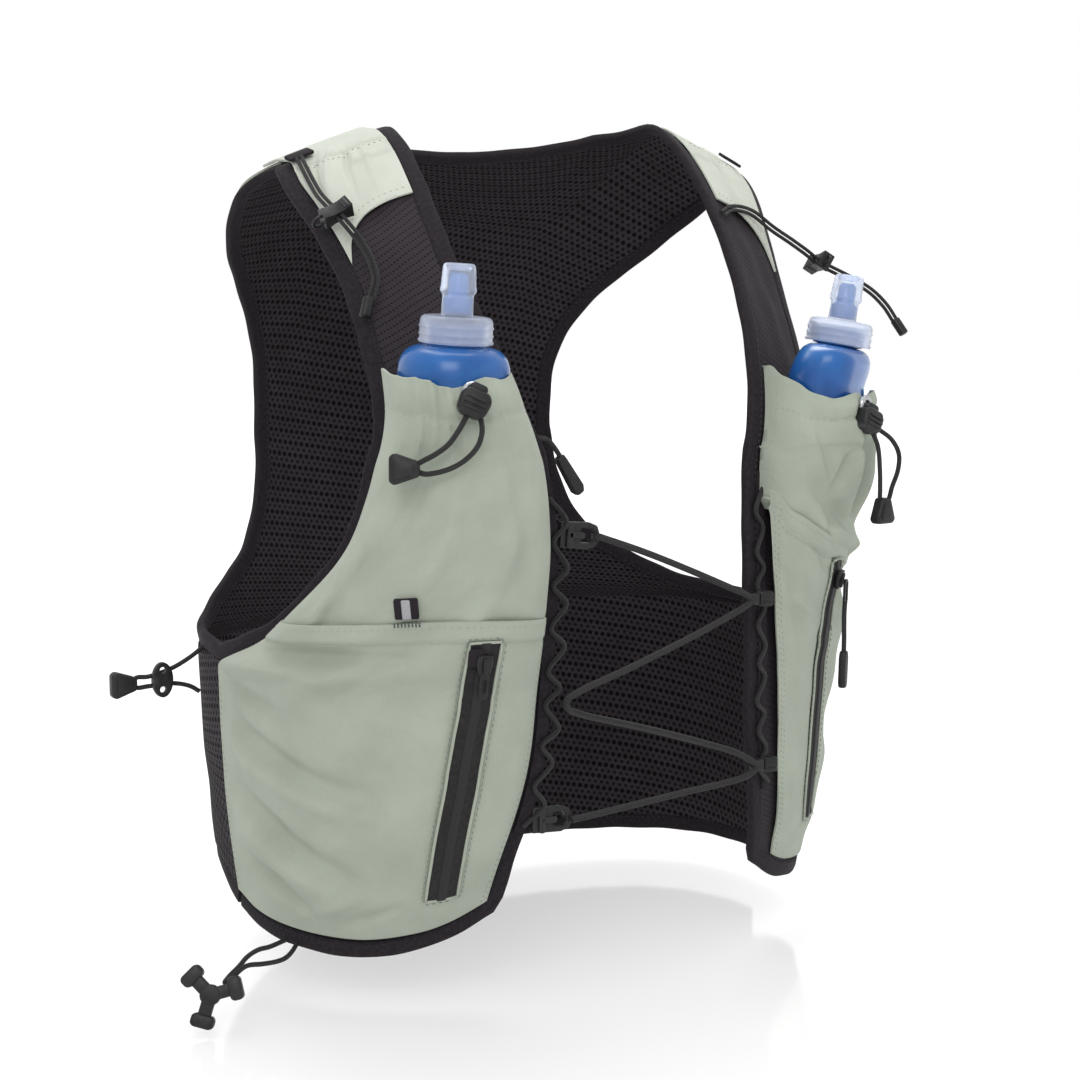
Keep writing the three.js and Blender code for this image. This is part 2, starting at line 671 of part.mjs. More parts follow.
// Soft flasks: flattened below, round at the shoulder, with a hard cap and bite valve on a leaning axis
const flask_levels = [
  { level: -0.43, scale: 0.35 },
  { level: -0.42, scale: 0.8 },
  { level: -0.38, scale: 1 },
  { level: -0.28, scale: 1 },
  { level: -0.16, scale: 1 },
  { level: -0.04, scale: 1 },
  { level: 0.07, scale: 1 },
  { level: 0.155, scale: 1 },
];
const flask_dome = [
  { height: 6, radius: 0.97 },
  { height: 11, radius: 0.87 },
  { height: 15, radius: 0.66 },
  { height: 16.4, radius: 0.49 },
];
const flask_sides = 12;
const flask_play = 1.6;
const flatten_spread = 0.2;
const flask_spare = 4;
const neck_top = cap_height - cap_wall - cap_running_gap;
const caps = {};
for (const [name, side] of Object.entries(sides)) {
  const lean = name === 'right' ? right_lean_out : left_lean_out;
  const axis = new THREE.Vector3(side * Math.tan(toRadians(lean)), -Math.tan(toRadians(lean_forward)), 1);
  axis.normalize();
  const ring = (center, sideways, normal, wide, deep) => Array.from({ length: flask_sides }, (v, i) => {
    const angle = 2 * Math.PI * i / flask_sides;
    return center.clone()
      .addScaledVector(sideways, wide * Math.cos(angle))
      .addScaledVector(normal, deep * Math.sin(angle));
  });
  const rings = [];
  let shoulder = null;
  for (const { level, scale } of flask_levels) {
    const shift = lerp(0.48, 0.36, THREE.MathUtils.smoothstep(-level, 0.2, 0.45));
    const { point, sideways, normal } = frameOf((a, l) => frontPoint(side, a, l), shift, level);
    const deep = Math.min(flask_radius, pocketRoom(name, level) / 2 - flask_play);
    const wide = Math.min(flask_radius + (flask_radius - deep) * flatten_spread, deep + flask_spare);
    const center = point.addScaledVector(normal, front_wall + flask_play + deep);
    rings.push(ring(center, sideways, normal, wide * scale, deep * scale));
    shoulder = { center, sideways, normal, wide, deep };
  }
  const outwards = new THREE.Vector3().crossVectors(axis, shoulder.sideways).normalize();
  if (outwards.dot(shoulder.normal) < 0) {
    outwards.negate();
  }
  const sideways = new THREE.Vector3().crossVectors(axis, outwards).normalize();
  if (sideways.dot(shoulder.sideways) < 0) {
    sideways.negate();
  }
  const round = Math.min(shoulder.wide, shoulder.deep);
  for (const { height, radius } of flask_dome) {
    const center = shoulder.center.clone().addScaledVector(axis, height);
    rings.push(ring(center, sideways, outwards, round * radius, round * radius));
  }
  for (const height of [cap_lift, cap_lift + neck_top]) {
    const center = shoulder.center.clone().addScaledVector(axis, height);
    rings.push(ring(center, sideways, outwards, neck_radius, neck_radius));
  }
  addPiece(`flask_${name}`, ringSolid(rings, false), flask_blue);
  const seat = shoulder.center.clone().addScaledVector(axis, cap_lift);
  caps[name] = { seat, axis };
}

function turned(profile, count) {
  const points = profile.map(([radius, height]) => new THREE.Vector2(radius, height));
  return new THREE.LatheGeometry(points, count);
}

function standAt(mesh, origin, axis) {
  mesh.position.copy(origin);
  mesh.quaternion.setFromUnitVectors(new THREE.Vector3(0, 1, 0), axis);
}

const cap_bore = neck_radius + cap_running_gap;
const cap_profile = [[0, cap_height - cap_wall], [cap_bore, cap_height - cap_wall], [cap_bore, 0],
  [cap_radius - 0.5, 0], [cap_radius, 1.5], [cap_radius, cap_height - 2], [cap_radius - 1.6, cap_height],
  [0, cap_height]];
const valve_profile = [[0, 0], [valve_radius * 0.97, 0], [valve_radius * 0.93, valve_height * 0.36],
  [valve_ridge_radius, valve_height * 0.47], [valve_radius * 0.96, valve_height * 0.56],
  [valve_radius, valve_height * 0.94], [valve_radius * 0.85, valve_height], [0, valve_height]];
for (const name of Object.keys(sides)) {
  const { seat, axis } = caps[name];
  standAt(addPiece(`flask_cap_${name}`, turned(cap_profile, 14), cap_milky), seat, axis);
  const valveSeat = seat.clone().addScaledVector(axis, cap_height + clearance);
  standAt(addPiece(`bite_valve_${name}`, turned(valve_profile, 12), cap_milky), valveSeat, axis);
}


// Flat fittings are cut from plate outlines, then laid on the cloth or threaded on a cord
function plate(outline, thickness, holes = []) {
  const shape = new THREE.Shape(outline.map(([x, y]) => new THREE.Vector2(x, y)));
  for (const hole of holes) {
    shape.holes.push(new THREE.Path(hole.map(([x, y]) => new THREE.Vector2(x, y))));
  }
  return new THREE.ExtrudeGeometry(shape, { depth: thickness, bevelEnabled: false });
}

function softRectangle(width, height, cut) {
  const x = width / 2;
  const y = height / 2;
  return [[-x + cut, -y], [x - cut, -y], [x, -y + cut], [x, y - cut], [x - cut, y], [-x + cut, y],
    [-x, y - cut], [-x, -y + cut]];
}

function oval(centerX, centerY, radiusX, radiusY, count) {
  return Array.from({ length: count }, (v, i) => {
    const angle = 2 * Math.PI * i / count;
    return [centerX + radiusX * Math.cos(angle), centerY + radiusY * Math.sin(angle)];
  });
}

function layOn(mesh, frame, lift, spin = 0) {
  const up = new THREE.Vector3().crossVectors(frame.normal, frame.sideways).normalize();
  mesh.quaternion.setFromRotationMatrix(new THREE.Matrix4().makeBasis(frame.sideways, up, frame.normal));
  mesh.rotateZ(toRadians(spin));
  mesh.position.copy(frame.point).addScaledVector(frame.normal, lift);
}

function frameAt(point, facing, along) {
  const normal = new THREE.Vector3(...facing).normalize();
  const sideways = new THREE.Vector3(...along);
  sideways.addScaledVector(normal, -sideways.dot(normal)).normalize();
  return { point: new THREE.Vector3(...point), sideways, normal };
}

// Bottle pocket mouths: a grommet for the drawcord and the cord lock that hangs in front of it
const mouth_fittings = {
  right: {
    share: 0.42,
    level: 0.118,
    lock: frameAt([-121.4, -165.1, -129.6], [-0.43, -0.89, 0.14], [0.9, -0.43, 0]),
  },
  left: {
    share: 0.42,
    level: 0.125,
    lock: frameAt([110.3, -157.6, -142.4], [0.11, -0.99, 0.06], [1, 0.1, 0]),
  },
};
const grommet_profile = [[grommet_bore, 0], [grommet_radius, 0], [grommet_radius, grommet_thickness],
  [grommet_bore, grommet_thickness], [grommet_bore, 0]];
const lock_lift = 2.9;
for (const [name, { share, level, lock }] of Object.entries(mouth_fittings)) {
  const mouth = frameOf((a, l) => bottlePocketPoint(name, a, l), share, level);
  const seat = mouth.point.clone().addScaledVector(mouth.normal, clearance);
  standAt(addPiece(`grommet_${name}`, turned(grommet_profile, 12), steel), seat, mouth.normal);
  const body = plate(softRectangle(lock_width, lock_width, lock_width / 4), lock_depth);
  layOn(addPiece(`cord_lock_${name}`, body, plastic_black), lock, lock_lift);
}

// Tabs of flat webbing on the yokes
const tab_gap = 0.9;
const tab_frames = {
  right: { share: 0.72, level: 0.93 },
  left: { share: 0.72, level: 0.93 },
};
for (const [name, { share, level }] of Object.entries(tab_frames)) {
  const frame = frameOf((a, l) => frontPoint(sides[name], a, l), share, level);
  const tab = plate(softRectangle(tab_length, tab_width, tab_thickness), tab_thickness);
  layOn(addPiece(`shoulder_tab_${name}`, tab, tape_black), frame, front_wall + yoke_gap + yoke_wall + tab_gap);
}

// Reflective loop on the right bottle pocket, just above the lower pocket
const loop_frame = frameOf((a, l) => bottlePocketPoint('right', a, l), 0.5, -0.245);
const loop = plate(softRectangle(loop_width, loop_height, loop_thickness / 2), loop_thickness);
layOn(addPiece('reflective_loop', loop, reflective), loop_frame, clearance, 4);

// Zip sliders near the top of each zip
for (const name of Object.keys(sides)) {
  const slider = plate(softRectangle(slider_width, slider_length, slider_width / 4), slider_thickness);
  layOn(addPiece(`zip_slider_${name}`, slider, plastic_black),
    zipFrame(name, slider_level), zip_gap + zip_thickness + 2 * clearance);
}

// Daisy chains: narrow webbing down each front edge, with an elastic cord waving in and out of it
const daisy_top = -0.04;
const daisy_bottom = -0.75;
const daisy_lift = front_wall / 2 + binding_thickness / 2 + clearance + webbing_thickness / 2;
const daisy_out = binding_out + 1;
const daisy_stand = webbing_thickness / 2 + 2 * clearance + loop_cord_diameter / 2;
const cord_sides = 8;

function tube(points, diameter, steps) {
  const curve = new THREE.CatmullRomCurve3(points);
  const outline = oval(0, 0, diameter / 2, diameter / 2, cord_sides).map(([x, y]) => new THREE.Vector2(x, y));
  const shape = new THREE.Shape(outline);
  return new THREE.ExtrudeGeometry(shape, { steps, bevelEnabled: false, extrudePath: curve });
}

for (const name of Object.keys(sides)) {
  const border = columnBorder(fronts[name], 0, 1)
    .filter((station, j) => front_levels[j] <= daisy_top && front_levels[j] >= daisy_bottom);
  const stations = edgeStations(border, true, daisy_lift, daisy_out);
  const end = stations.length - 1;
  stations[0] = { ...stations[1], point: stations[0].point };
  stations[end] = { ...stations[end - 1], point: stations[end].point };
  addPiece(`daisy_webbing_${name}`,
    ringSolid(bandRings(stations, false, webbing_width, webbing_thickness), false), tape_black);
  const lane = new THREE.CatmullRomCurve3(stations.map(({ point }) => point));
  const points = [];
  for (let i = 0; i <= 2 * daisy_bumps; i += 1) {
    const at = lerp(0.04, 0.96, i / (2 * daisy_bumps));
    const { across, normal } = stations[Math.round(at * end)];
    points.push(lane.getPoint(at)
      .addScaledVector(across, i % 2 === 0 ? 0 : daisy_reach)
      .addScaledVector(normal, daisy_stand));
  }
  addPiece(`daisy_cord_${name}`, tube(points, loop_cord_diameter, 4 * daisy_bumps), cord_black);
}

// Cords, each along a route of points. The lacing runs between hooks on the right edge and clips on the left.
const cord_routes = {
  lacing_cord: {
    diameter: lacing_diameter,
    steps: 36,
    points: [[-37, -137.8, -197.6], [-10, -139, -207], [20, -140.4, -219], [46, -143.4, -229.8],
      [52.4, -144.1, -231.6], [56.2, -144.8, -235], [52.4, -144.1, -238.6], [46, -143.2, -240.2],
      [20, -141.5, -249], [-20, -141, -262], [-50, -140.5, -271], [-55.5, -140.3, -274],
      [-55, -140, -278], [-48, -139.5, -281.5], [-10, -137.5, -293], [30, -135.5, -306],
      [56, -134.9, -315.8], [63.5, -135.2, -318], [69.6, -135.6, -321.8], [64.5, -135.2, -325.6],
      [57, -134, -327.4], [20, -130.6, -331], [-20, -128, -334.6], [-43.5, -126.4, -336.6]],
  },
  shoulder_cord_right: {
    diameter: shoulder_cord_diameter,
    steps: 14,
    points: [[-129.1, -11, -16.4], [-130.7, -21.5, -23.4], [-131.6, -30, -29.6], [-132.6, -40, -36.2],
      [-132.6, -48.5, -40.9], [-131.5, -56, -45.6], [-129.8, -62.3, -50.6], [-125.5, -67.5, -58.5],
      [-123.2, -74, -67.5], [-123.3, -80, -77], [-126.6, -82.5, -86]],
  },
  shoulder_cord_left: {
    diameter: shoulder_cord_diameter,
    steps: 16,
    points: [[92.9, -65, -39], [104.9, -57.4, -35.4], [114.5, -55.4, -35.6], [123.5, -53.8, -37.8],
      [134.6, -56, -45.4], [146.5, -58.5, -52.4], [156.4, -60.5, -58.6], [163.5, -61.5, -63.5],
      [170.5, -64.3, -67], [177.4, -68, -70.8], [188.9, -76, -78.9], [193.9, -83, -87.2],
      [196, -88, -94.6]],
  },
  pocket_cord_right: {
    diameter: loop_cord_diameter,
    steps: 18,
    points: [[-126.9, -169.9, -137.4], [-129.8, -168.4, -143.4], [-134, -166, -149.9],
      [-138.9, -161.8, -154.5], [-142.6, -158.6, -157], [-144.2, -157.6, -159.6],
      [-142.6, -159.2, -161.8], [-138.6, -162.4, -161.6], [-133, -167.2, -159.8], [-127.5, -170.4, -156],
      [-122.8, -172.4, -150.3], [-121, -173, -143.8], [-121.6, -172.4, -137.7]],
  },
  pocket_cord_left: {
    diameter: loop_cord_diameter,
    steps: 18,
    points: [[112.6, -163.6, -150.4], [116.3, -164.4, -158.3], [118, -164.6, -170.9],
      [119.2, -164.6, -180.4], [120.6, -164.4, -184.2], [123, -164.2, -184.6], [125.4, -164.2, -181.6],
      [130, -164.4, -175.4], [131.8, -164.4, -166.4], [126, -164.2, -156], [117.2, -163.4, -150.4]],
  },
  side_cord: {
    diameter: loop_cord_diameter,
    steps: 18,
    points: [[-168.4, 27.6, -262], [-176.8, 26, -266.8], [-186.6, 26, -271.5], [-199.5, 26, -275],
      [-204.7, 26, -275.1], [-207, 26, -277], [-204.8, 26, -279], [-199.6, 26, -279.2],
      [-185.7, 26, -279.3], [-177.2, 26, -281.8], [-172.2, 26.5, -285]],
  },
  hem_cord: {
    diameter: loop_cord_diameter,
    steps: 22,
    points: [[-155, -38.2, -401.4], [-165.9, -43, -401.6], [-174.1, -47, -400.6], [-181.6, -51, -401.6],
      [-187.2, -54, -404.4], [-191.7, -56, -406.8], [-194.5, -58.4, -407.6], [-192.2, -60.6, -405.8],
      [-186.5, -60.6, -402.4], [-177.3, -59, -403.5], [-169.7, -57, -404.5], [-163, -54, -404.8],
      [-157.4, -50, -403.6], [-153.5, -46.6, -401.8]],
  },
  inner_pull_cord: {
    diameter: loop_cord_diameter,
    steps: 8,
    points: [[-61.2, -125.4, -151.6], [-56.4, -123.6, -151.6], [-51.8, -122, -155.3],
      [-48.1, -121.5, -159.8]],
  },
};
for (const [name, { diameter, steps, points }] of Object.entries(cord_routes)) {
  addPiece(name, tube(points.map((point) => new THREE.Vector3(...point)), diameter, steps), cord_black);
}

// Shoulder cord fittings: a spring toggle with the cord through it and a moulded end
function threadOn(mesh, length, centre, direction, up) {
  const along = new THREE.Vector3(...direction).normalize();
  const top = new THREE.Vector3(...up);
  top.addScaledVector(along, -top.dot(along)).normalize();
  const across = new THREE.Vector3().crossVectors(top, along).normalize();
  mesh.quaternion.setFromRotationMatrix(new THREE.Matrix4().makeBasis(across, top, along));
  mesh.position.set(...centre).addScaledVector(along, -length / 2);
}

const toggle_bore = shoulder_cord_diameter / 2 + 3 * clearance;
const toggle_outline = softRectangle(toggle_width, toggle_height, toggle_height / 4);
const toggle_hole = [oval(0, 0, toggle_bore, toggle_bore, cord_sides)];
const barrel_outline = softRectangle(barrel_width, barrel_width, barrel_width / 4);
const shoulder_fittings = {
  right: {
    toggle: [[-131.5, -56, -45.6], [1.7, -6.5, -5.2], [-0.45, -0.6, 0.65]],
    end: [[-130.2, -84.2, -90.4], [-3.3, -2.1, -9], [0, -1, 0]],
  },
  left: {
    toggle: [[163.5, -61.5, -63.5], [7, -2, -4.4], [0.3, 0, 1]],
    end: [[197.6, -90.8, -99], [2.4, -4.3, -7], [0, -1, 0]],
  },
};
for (const [name, { toggle, end }] of Object.entries(shoulder_fittings)) {
  const body = plate(toggle_outline, toggle_length, toggle_hole);
  threadOn(addPiece(`shoulder_toggle_${name}`, body, plastic_black), toggle_length, ...toggle);
  threadOn(addPiece(`shoulder_cord_end_${name}`, plate(barrel_outline, barrel_length), plastic_black),
    barrel_length, ...end);
}

// Clamped ends on the looped cords, narrow where the cord enters
const end_outline = [[5, -4], [5, 4], [-5, 6], [-6, 5], [-6, -5], [-5, -6]];
const end_frames = {
  pocket_cord_end_right: frameAt([-149.7, -156.6, -160.2], [-0.6, -0.8, 0.05], [0.8, -0.6, 0]),
  pocket_cord_end_left: frameAt([120.4, -164.6, -191.1], [0.11, -0.99, 0], [0, 0, 1]),
  side_cord_end: frameAt([-212.1, 26, -277.4], [0, -1, 0], [1, 0, 0]),
};
for (const [name, frame] of Object.entries(end_frames)) {
  layOn(addPiece(name, plate(end_outline, end_thickness), plastic_black), frame, -end_thickness / 2);
}

// Keeper plate on the side cord
const keeper_spread = 5;
const keeper_holes = [oval(0, keeper_spread, keeper_bore, keeper_bore, cord_sides),
  oval(0, -keeper_spread, keeper_bore, keeper_bore, cord_sides)];
layOn(addPiece('side_keeper', plate(oval(0, 0, keeper_width / 2, keeper_height / 2, 12), keeper_thickness,
  keeper_holes), plastic_black), frameAt([-193.1, 26, -276.4], [0, -1, 0], [1, 0, 0]),
loop_cord_diameter / 2 + clearance);

// Three-armed hook on the hem cord
const hook_outline = [0, 1, 2].flatMap((i) => {
  const turn = toRadians(120 * i + 15);
  const root = arm_width * 0.6;
  const wing = arm_length - knob_length;
  const arm = [[root, -arm_width / 2], [wing, -arm_width / 2], [wing, -knob_half], [arm_length, -knob_half],
    [arm_length, knob_half], [wing, knob_half], [wing, arm_width / 2], [root, arm_width / 2]];
  const [cos, sin] = [Math.cos(turn), Math.sin(turn)];
  return arm.map(([x, y]) => [x * cos - y * sin, x * sin + y * cos]);
});
layOn(addPiece('hem_hook', plate(hook_outline, hook_thickness), plastic_black),
  frameAt([-204.2, -59.5, -413.4], [-0.5, -0.8, 0.3], [0.84, -0.53, 0]), -hook_thickness / 2);

// Moulded grip on the inner pull cord
layOn(addPiece('inner_pull_grip', plate(softRectangle(grip_length, grip_width, grip_width / 3), hook_thickness),
  plastic_black), frameAt([-42.3, -119.5, -169.4], [0, -1, 0], [0.56, 0, -0.83]), 0);

// Hooks and clips that hold the lacing to the two front edges
const eye = softRectangle(10, 5, 1).map(([x, y]) => [x + 3, y]);
const lacing_hooks = {
  upper_hook: frameAt([-45.3, -131.8, -197], [0, -1, 0], [1, 0, -0.1]),
  lower_hook: frameAt([-53.3, -120.2, -335.8], [0, -1, 0.1], [1, 0, -0.05]),
};
for (const [name, frame] of Object.entries(lacing_hooks)) {
  const body = plate(softRectangle(lacing_hook_length, lacing_hook_height, 2), hook_thickness, [eye]);
  layOn(addPiece(name, body, plastic_black), frame, 0);
}
const clips = {
  upper_clip: frameAt([61, -140.4, -236], [-0.25, -1, 0], [1, -0.25, 0]),
  lower_clip: frameAt([75, -131.5, -323.5], [-0.25, -1, 0], [1, -0.25, 0]),
};
for (const [name, frame] of Object.entries(clips)) {
  const body = plate(softRectangle(clip_length, clip_height, clip_thickness / 2), clip_thickness);
  layOn(addPiece(name, body, plastic_black), frame, 0);
}

export default vest;
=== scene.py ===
import math

import bmesh
import bpy
import numpy as np
from mathutils import Matrix, Vector


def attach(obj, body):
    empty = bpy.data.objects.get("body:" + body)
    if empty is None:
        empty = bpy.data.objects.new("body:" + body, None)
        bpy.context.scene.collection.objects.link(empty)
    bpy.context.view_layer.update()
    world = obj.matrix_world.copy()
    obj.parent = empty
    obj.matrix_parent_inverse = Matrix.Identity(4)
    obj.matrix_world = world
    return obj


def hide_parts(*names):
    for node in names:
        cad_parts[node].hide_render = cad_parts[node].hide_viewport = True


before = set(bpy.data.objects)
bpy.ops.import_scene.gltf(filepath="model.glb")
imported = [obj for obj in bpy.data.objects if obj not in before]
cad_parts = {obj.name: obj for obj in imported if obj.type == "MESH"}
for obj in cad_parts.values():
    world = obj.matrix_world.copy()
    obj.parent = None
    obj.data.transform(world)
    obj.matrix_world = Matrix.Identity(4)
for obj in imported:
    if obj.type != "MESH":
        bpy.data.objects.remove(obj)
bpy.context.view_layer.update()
MM = 0.001

# Studio: camera at the photograph's angle, a pale floor just under the lowest hook and soft
# lights. None of it belongs to the vest.
eye = Vector((-0.5242, -0.8521, -0.1010))
look = Vector((0.5338, 0.8380, -0.1132))
camera = bpy.data.objects.new("photo_camera", bpy.data.cameras.new("photo_camera"))
camera.data.lens = 61.33
camera.data.sensor_width = 36
camera.location = eye
camera.rotation_euler = look.to_track_quat("-Z", "Y").to_euler()
bpy.context.collection.objects.link(camera)
bpy.context.scene.camera = camera

floor_half, floor_level = 9, -0.432
floor_mesh = bpy.data.meshes.new("floor")
floor_corners = [(x * floor_half, y * floor_half, floor_level)
                 for x, y in ((-1, -1), (1, -1), (1, 1), (-1, 1))]
floor_mesh.from_pydata(floor_corners, [], [(0, 1, 2, 3)])
floor = bpy.data.objects.new("floor", floor_mesh)
floor_finish = bpy.data.materials.new("floor_paper")
floor_finish.use_nodes = True
floor_shader = floor_finish.node_tree.nodes["Principled BSDF"]
floor_shader.inputs["Base Color"].default_value = (0.5, 0.5, 0.5, 1)
floor_shader.inputs["Emission Color"].default_value = (1, 1, 1, 1)
floor_shader.inputs["Emission Strength"].default_value = 0.46
floor_shader.inputs["Roughness"].default_value = 0.1
floor_mesh.materials.append(floor_finish)
bpy.context.collection.objects.link(floor)

room = bpy.context.scene.world or bpy.data.worlds.new("room")
bpy.context.scene.world = room
room.use_nodes = True
room.node_tree.nodes["Background"].inputs["Color"].default_value = (1, 1, 1, 1)
room.node_tree.nodes["Background"].inputs["Strength"].default_value = 1.0
bpy.context.scene.view_settings.view_transform = "Standard"
studio_lights = {
    "key_light": {"at": (-1.5, -1.9, 1.3), "size": 1.4, "power": 24},
    "fill_light": {"at": (1.7, -1.9, 0.5), "size": 1.8, "power": 3},
    "top_light": {"at": (0.2, 0.6, 2.0), "size": 1.6, "power": 24},
}
for name, light in studio_lights.items():
    lamp = bpy.data.lights.new(name, "AREA")
    lamp.size = light["size"]
    lamp.energy = light["power"]
    stand = bpy.data.objects.new(name, lamp)
    stand.location = light["at"]
    stand.rotation_euler = (Vector((0, 0, -0.2)) - stand.location).to_track_quat("-Z", "Y").to_euler()
    bpy.context.collection.objects.link(stand)

# Front panels: two strips of padded black mesh from the hem up over the shoulders, the base
# that everything in front is sewn to. The body's form is given by a turn round it and a level.
half_breadth, chest_depth, chest_drop, body_drop = 163, 130, 160, 240
section_power, front_arch, back_arch = 2.5, 1.5, 2.2
neck_half, shoulder_sway, hem_sway, left_rise = 75, 8, 6, 11
front_wall, clearance = 2.5, 0.3
sides = {"right": -1, "left": 1}
breadth_at = [(0, 1), (-0.2, 1.008), (-0.38, 1.03), (-0.58, 1.04), (-0.71, 1.04), (-0.83, 1.03), (-1.02, 1)]
front_at = [(0, 1), (-0.2, 1.03), (-0.38, 1.027), (-0.58, 0.985), (-0.71, 0.946), (-0.83, 0.892),
            (-1.02, 0.79)]
back_at = [(0, 1), (-0.2, 0.935), (-0.38, 0.85), (-0.58, 0.805), (-0.71, 0.785), (-0.83, 0.77), (-1.02, 0.75)]
inner_edge = [
    (-1, 62), (-0.92, 64), (-0.82, 66), (-0.69, 69), (-0.58, 70.8), (-0.44, 71.4), (-0.415, 71.5),
    (-0.36, 71.7), (-0.275, 71.9), (-0.175, 71.9), (-0.083, 71.4), (0, 70.4), (0.12, 68), (0.21, 66.1),
    (0.34, 63.3), (0.44, 61.5), (0.55, 60.8), (0.67, 60.8), (0.8, 61.2), (1, 62),
]
outer_edge = [
    (-1, 0), (-0.92, 0), (-0.82, 0), (-0.69, 0), (-0.58, 0), (-0.44, 0), (-0.415, 5), (-0.36, 18),
    (-0.275, 28.3), (-0.175, 36.7), (-0.083, 40.7), (0, 43), (0.12, 45), (0.21, 45.3), (0.34, 44.7),
    (0.44, 44.1), (0.55, 41.7), (0.67, 38.5), (0.8, 35.8), (1, 37.2),
]
front_hem = [(0, 0.085), (0.1, 0.042), (0.2, 0.018), (0.4, 0), (0.7, 0.008), (0.9, 0.022), (1, 0.045)]
front_bottom = -0.985


def smooth(at, low, high):
    t = np.clip((np.asarray(at, float) - low) / (high - low), 0, 1)
    return t * t * (3 - 2 * t)


def read(table, at):
    rows = np.array(sorted(table), float)
    keys, values = rows[:, 0], rows[:, 1]
    last = len(keys) - 1
    at = np.asarray(at, float)
    i = np.clip(np.searchsorted(keys, at, side="right") - 1, 0, last - 1)
    step = keys[i + 1] - keys[i]
    t = np.clip((at - keys[i]) / step, 0, 1)
    straight = (values[i + 1] - values[i]) / step
    before, after = np.maximum(i - 1, 0), np.minimum(i + 2, last)

    def limited(slope):
        bent = np.sign(straight) * np.minimum(np.abs(slope), 3 * np.abs(straight))
        return np.where(slope * straight <= 0, 0, bent)

    start = limited((values[i + 1] - values[before]) / (keys[i + 1] - keys[before]))
    end = limited((values[after] - values[i]) / (keys[after] - keys[i]))
    start, end = np.where(i == 0, straight, start), np.where(i == last - 1, straight, end)
    t2, t3 = t * t, t * t * t
    return ((2 * t3 - 3 * t2 + 1) * values[i] + (t3 - 2 * t2 + t) * step * start
            + (3 * t2 - 2 * t3) * values[i + 1] + (t3 - t2) * step * end)


def form(side, face, turn, level):
    angle = np.radians(turn)
    level = np.asarray(level, float)
    below, above = np.minimum(level, 0), np.clip(level, 0, 1)
    depth = chest_depth * read(front_at if face < 0 else back_at, below)
    breadth = half_breadth * read(breadth_at, below)
    x = side * breadth * np.clip(np.cos(angle), 0, 1) ** (2 / section_power)
    y = depth * np.clip(np.sin(angle), 0, 1) ** (2 / section_power)
    power = 2 / (front_arch if face < 0 else back_arch)
    out = np.maximum(np.abs(x) - neck_half, 0)
    ridge = 2 - 0.34 * out - 0.0006 * out * out
    z = -chest_drop + below * body_drop
    z = z + np.where(level > 0, (ridge + chest_drop) * np.sin(above * math.pi / 2) ** power, 0)
    y = y * np.where(level > 0, np.clip(np.cos(above * math.pi / 2), 0, 1) ** power, 1)
    upper, lower = smooth(level, 0.35, 1), smooth(-level, 0.3, 1)
    leftward = smooth(x, -0.8 * neck_half, 1.2 * neck_half)
    return np.stack([x + shoulder_sway * upper + hem_sway * lower, face * (y + clearance / 2),
                     z + left_rise * upper * leftward], -1)


def front(side, across, level):
    fade = np.maximum((-np.asarray(level, float) - 0.7) / (-front_bottom - 0.7), 0) ** 2
    lifted = level + read(front_hem, across) * fade
    inner, outer = read(inner_edge, lifted), read(outer_edge, lifted)
    return form(side, -1, inner + (outer - inner) * across, lifted)


def unit(vector):
    return vector / np.maximum(np.linalg.norm(vector, axis=-1, keepdims=True), 1e-9)


def outward(point):
    return np.stack([point[..., 0] * 0.4, point[..., 1],
                     point[..., 2] - np.minimum(point[..., 2], -chest_drop)], -1)


def frames(point_at, across, level, low=front_bottom, step=0.004):
    across, level = np.broadcast_arrays(np.asarray(across, float), np.asarray(level, float))
    left, right = point_at(np.maximum(across - step, 0), level), point_at(np.minimum(across + step, 1), level)
    down, up = point_at(across, np.maximum(level - step, low)), point_at(across, np.minimum(level + step, 1))
    point = point_at(across, level)
    normal = unit(np.cross(unit(right - left), unit(up - down)))
    normal = np.where((normal * outward(point)).sum(-1, keepdims=True) < 0, -normal, normal)
    return point, unit(right - left), unit(up - down), normal


def grid_normals(points, hints):
    normal = unit(np.cross(np.gradient(points, axis=1), np.gradient(points, axis=0)))
    return np.where((normal * hints).sum(-1, keepdims=True) < 0, -normal, normal)


def laid_flat(points):
    along = np.linalg.norm(np.diff(points, axis=1), axis=-1)
    u = np.concatenate([np.zeros((len(points), 1)), np.cumsum(along, 1)], 1)
    up = np.linalg.norm(np.diff(points, axis=0), axis=-1).mean(1)
    v = np.concatenate([[0], np.cumsum(up)])
    u = u - u[:, [u.shape[1] // 2]]
    return np.stack([u, np.broadcast_to(v[:, None], u.shape), np.zeros(u.shape)], -1)


def make_piece(name, points, faces, finish, body="vest", flat=None, sharp=38, slot=None, stands_for=()):
    mesh = bpy.data.meshes.new(name)
    mesh.from_pydata((np.asarray(points, float) * MM).tolist(), [], faces)
    if flat is not None:
        layer = mesh.attributes.new("flat_mm", "FLOAT_VECTOR", "POINT")
        layer.data.foreach_set("vector", np.asarray(flat, np.float32).ravel())
    work = bmesh.new()
    work.from_mesh(mesh)
    bmesh.ops.recalc_face_normals(work, faces=work.faces)
    work.to_mesh(mesh)
    work.free()
    mesh.materials.append(finish)
    mesh.shade_smooth()
    mesh.set_sharp_from_angle(angle=math.radians(sharp))
    piece = bpy.data.objects.new(name, mesh)
    bpy.context.collection.objects.link(piece)
    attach(piece, body)
    if stands_for:
        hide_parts(*stands_for)
    return piece


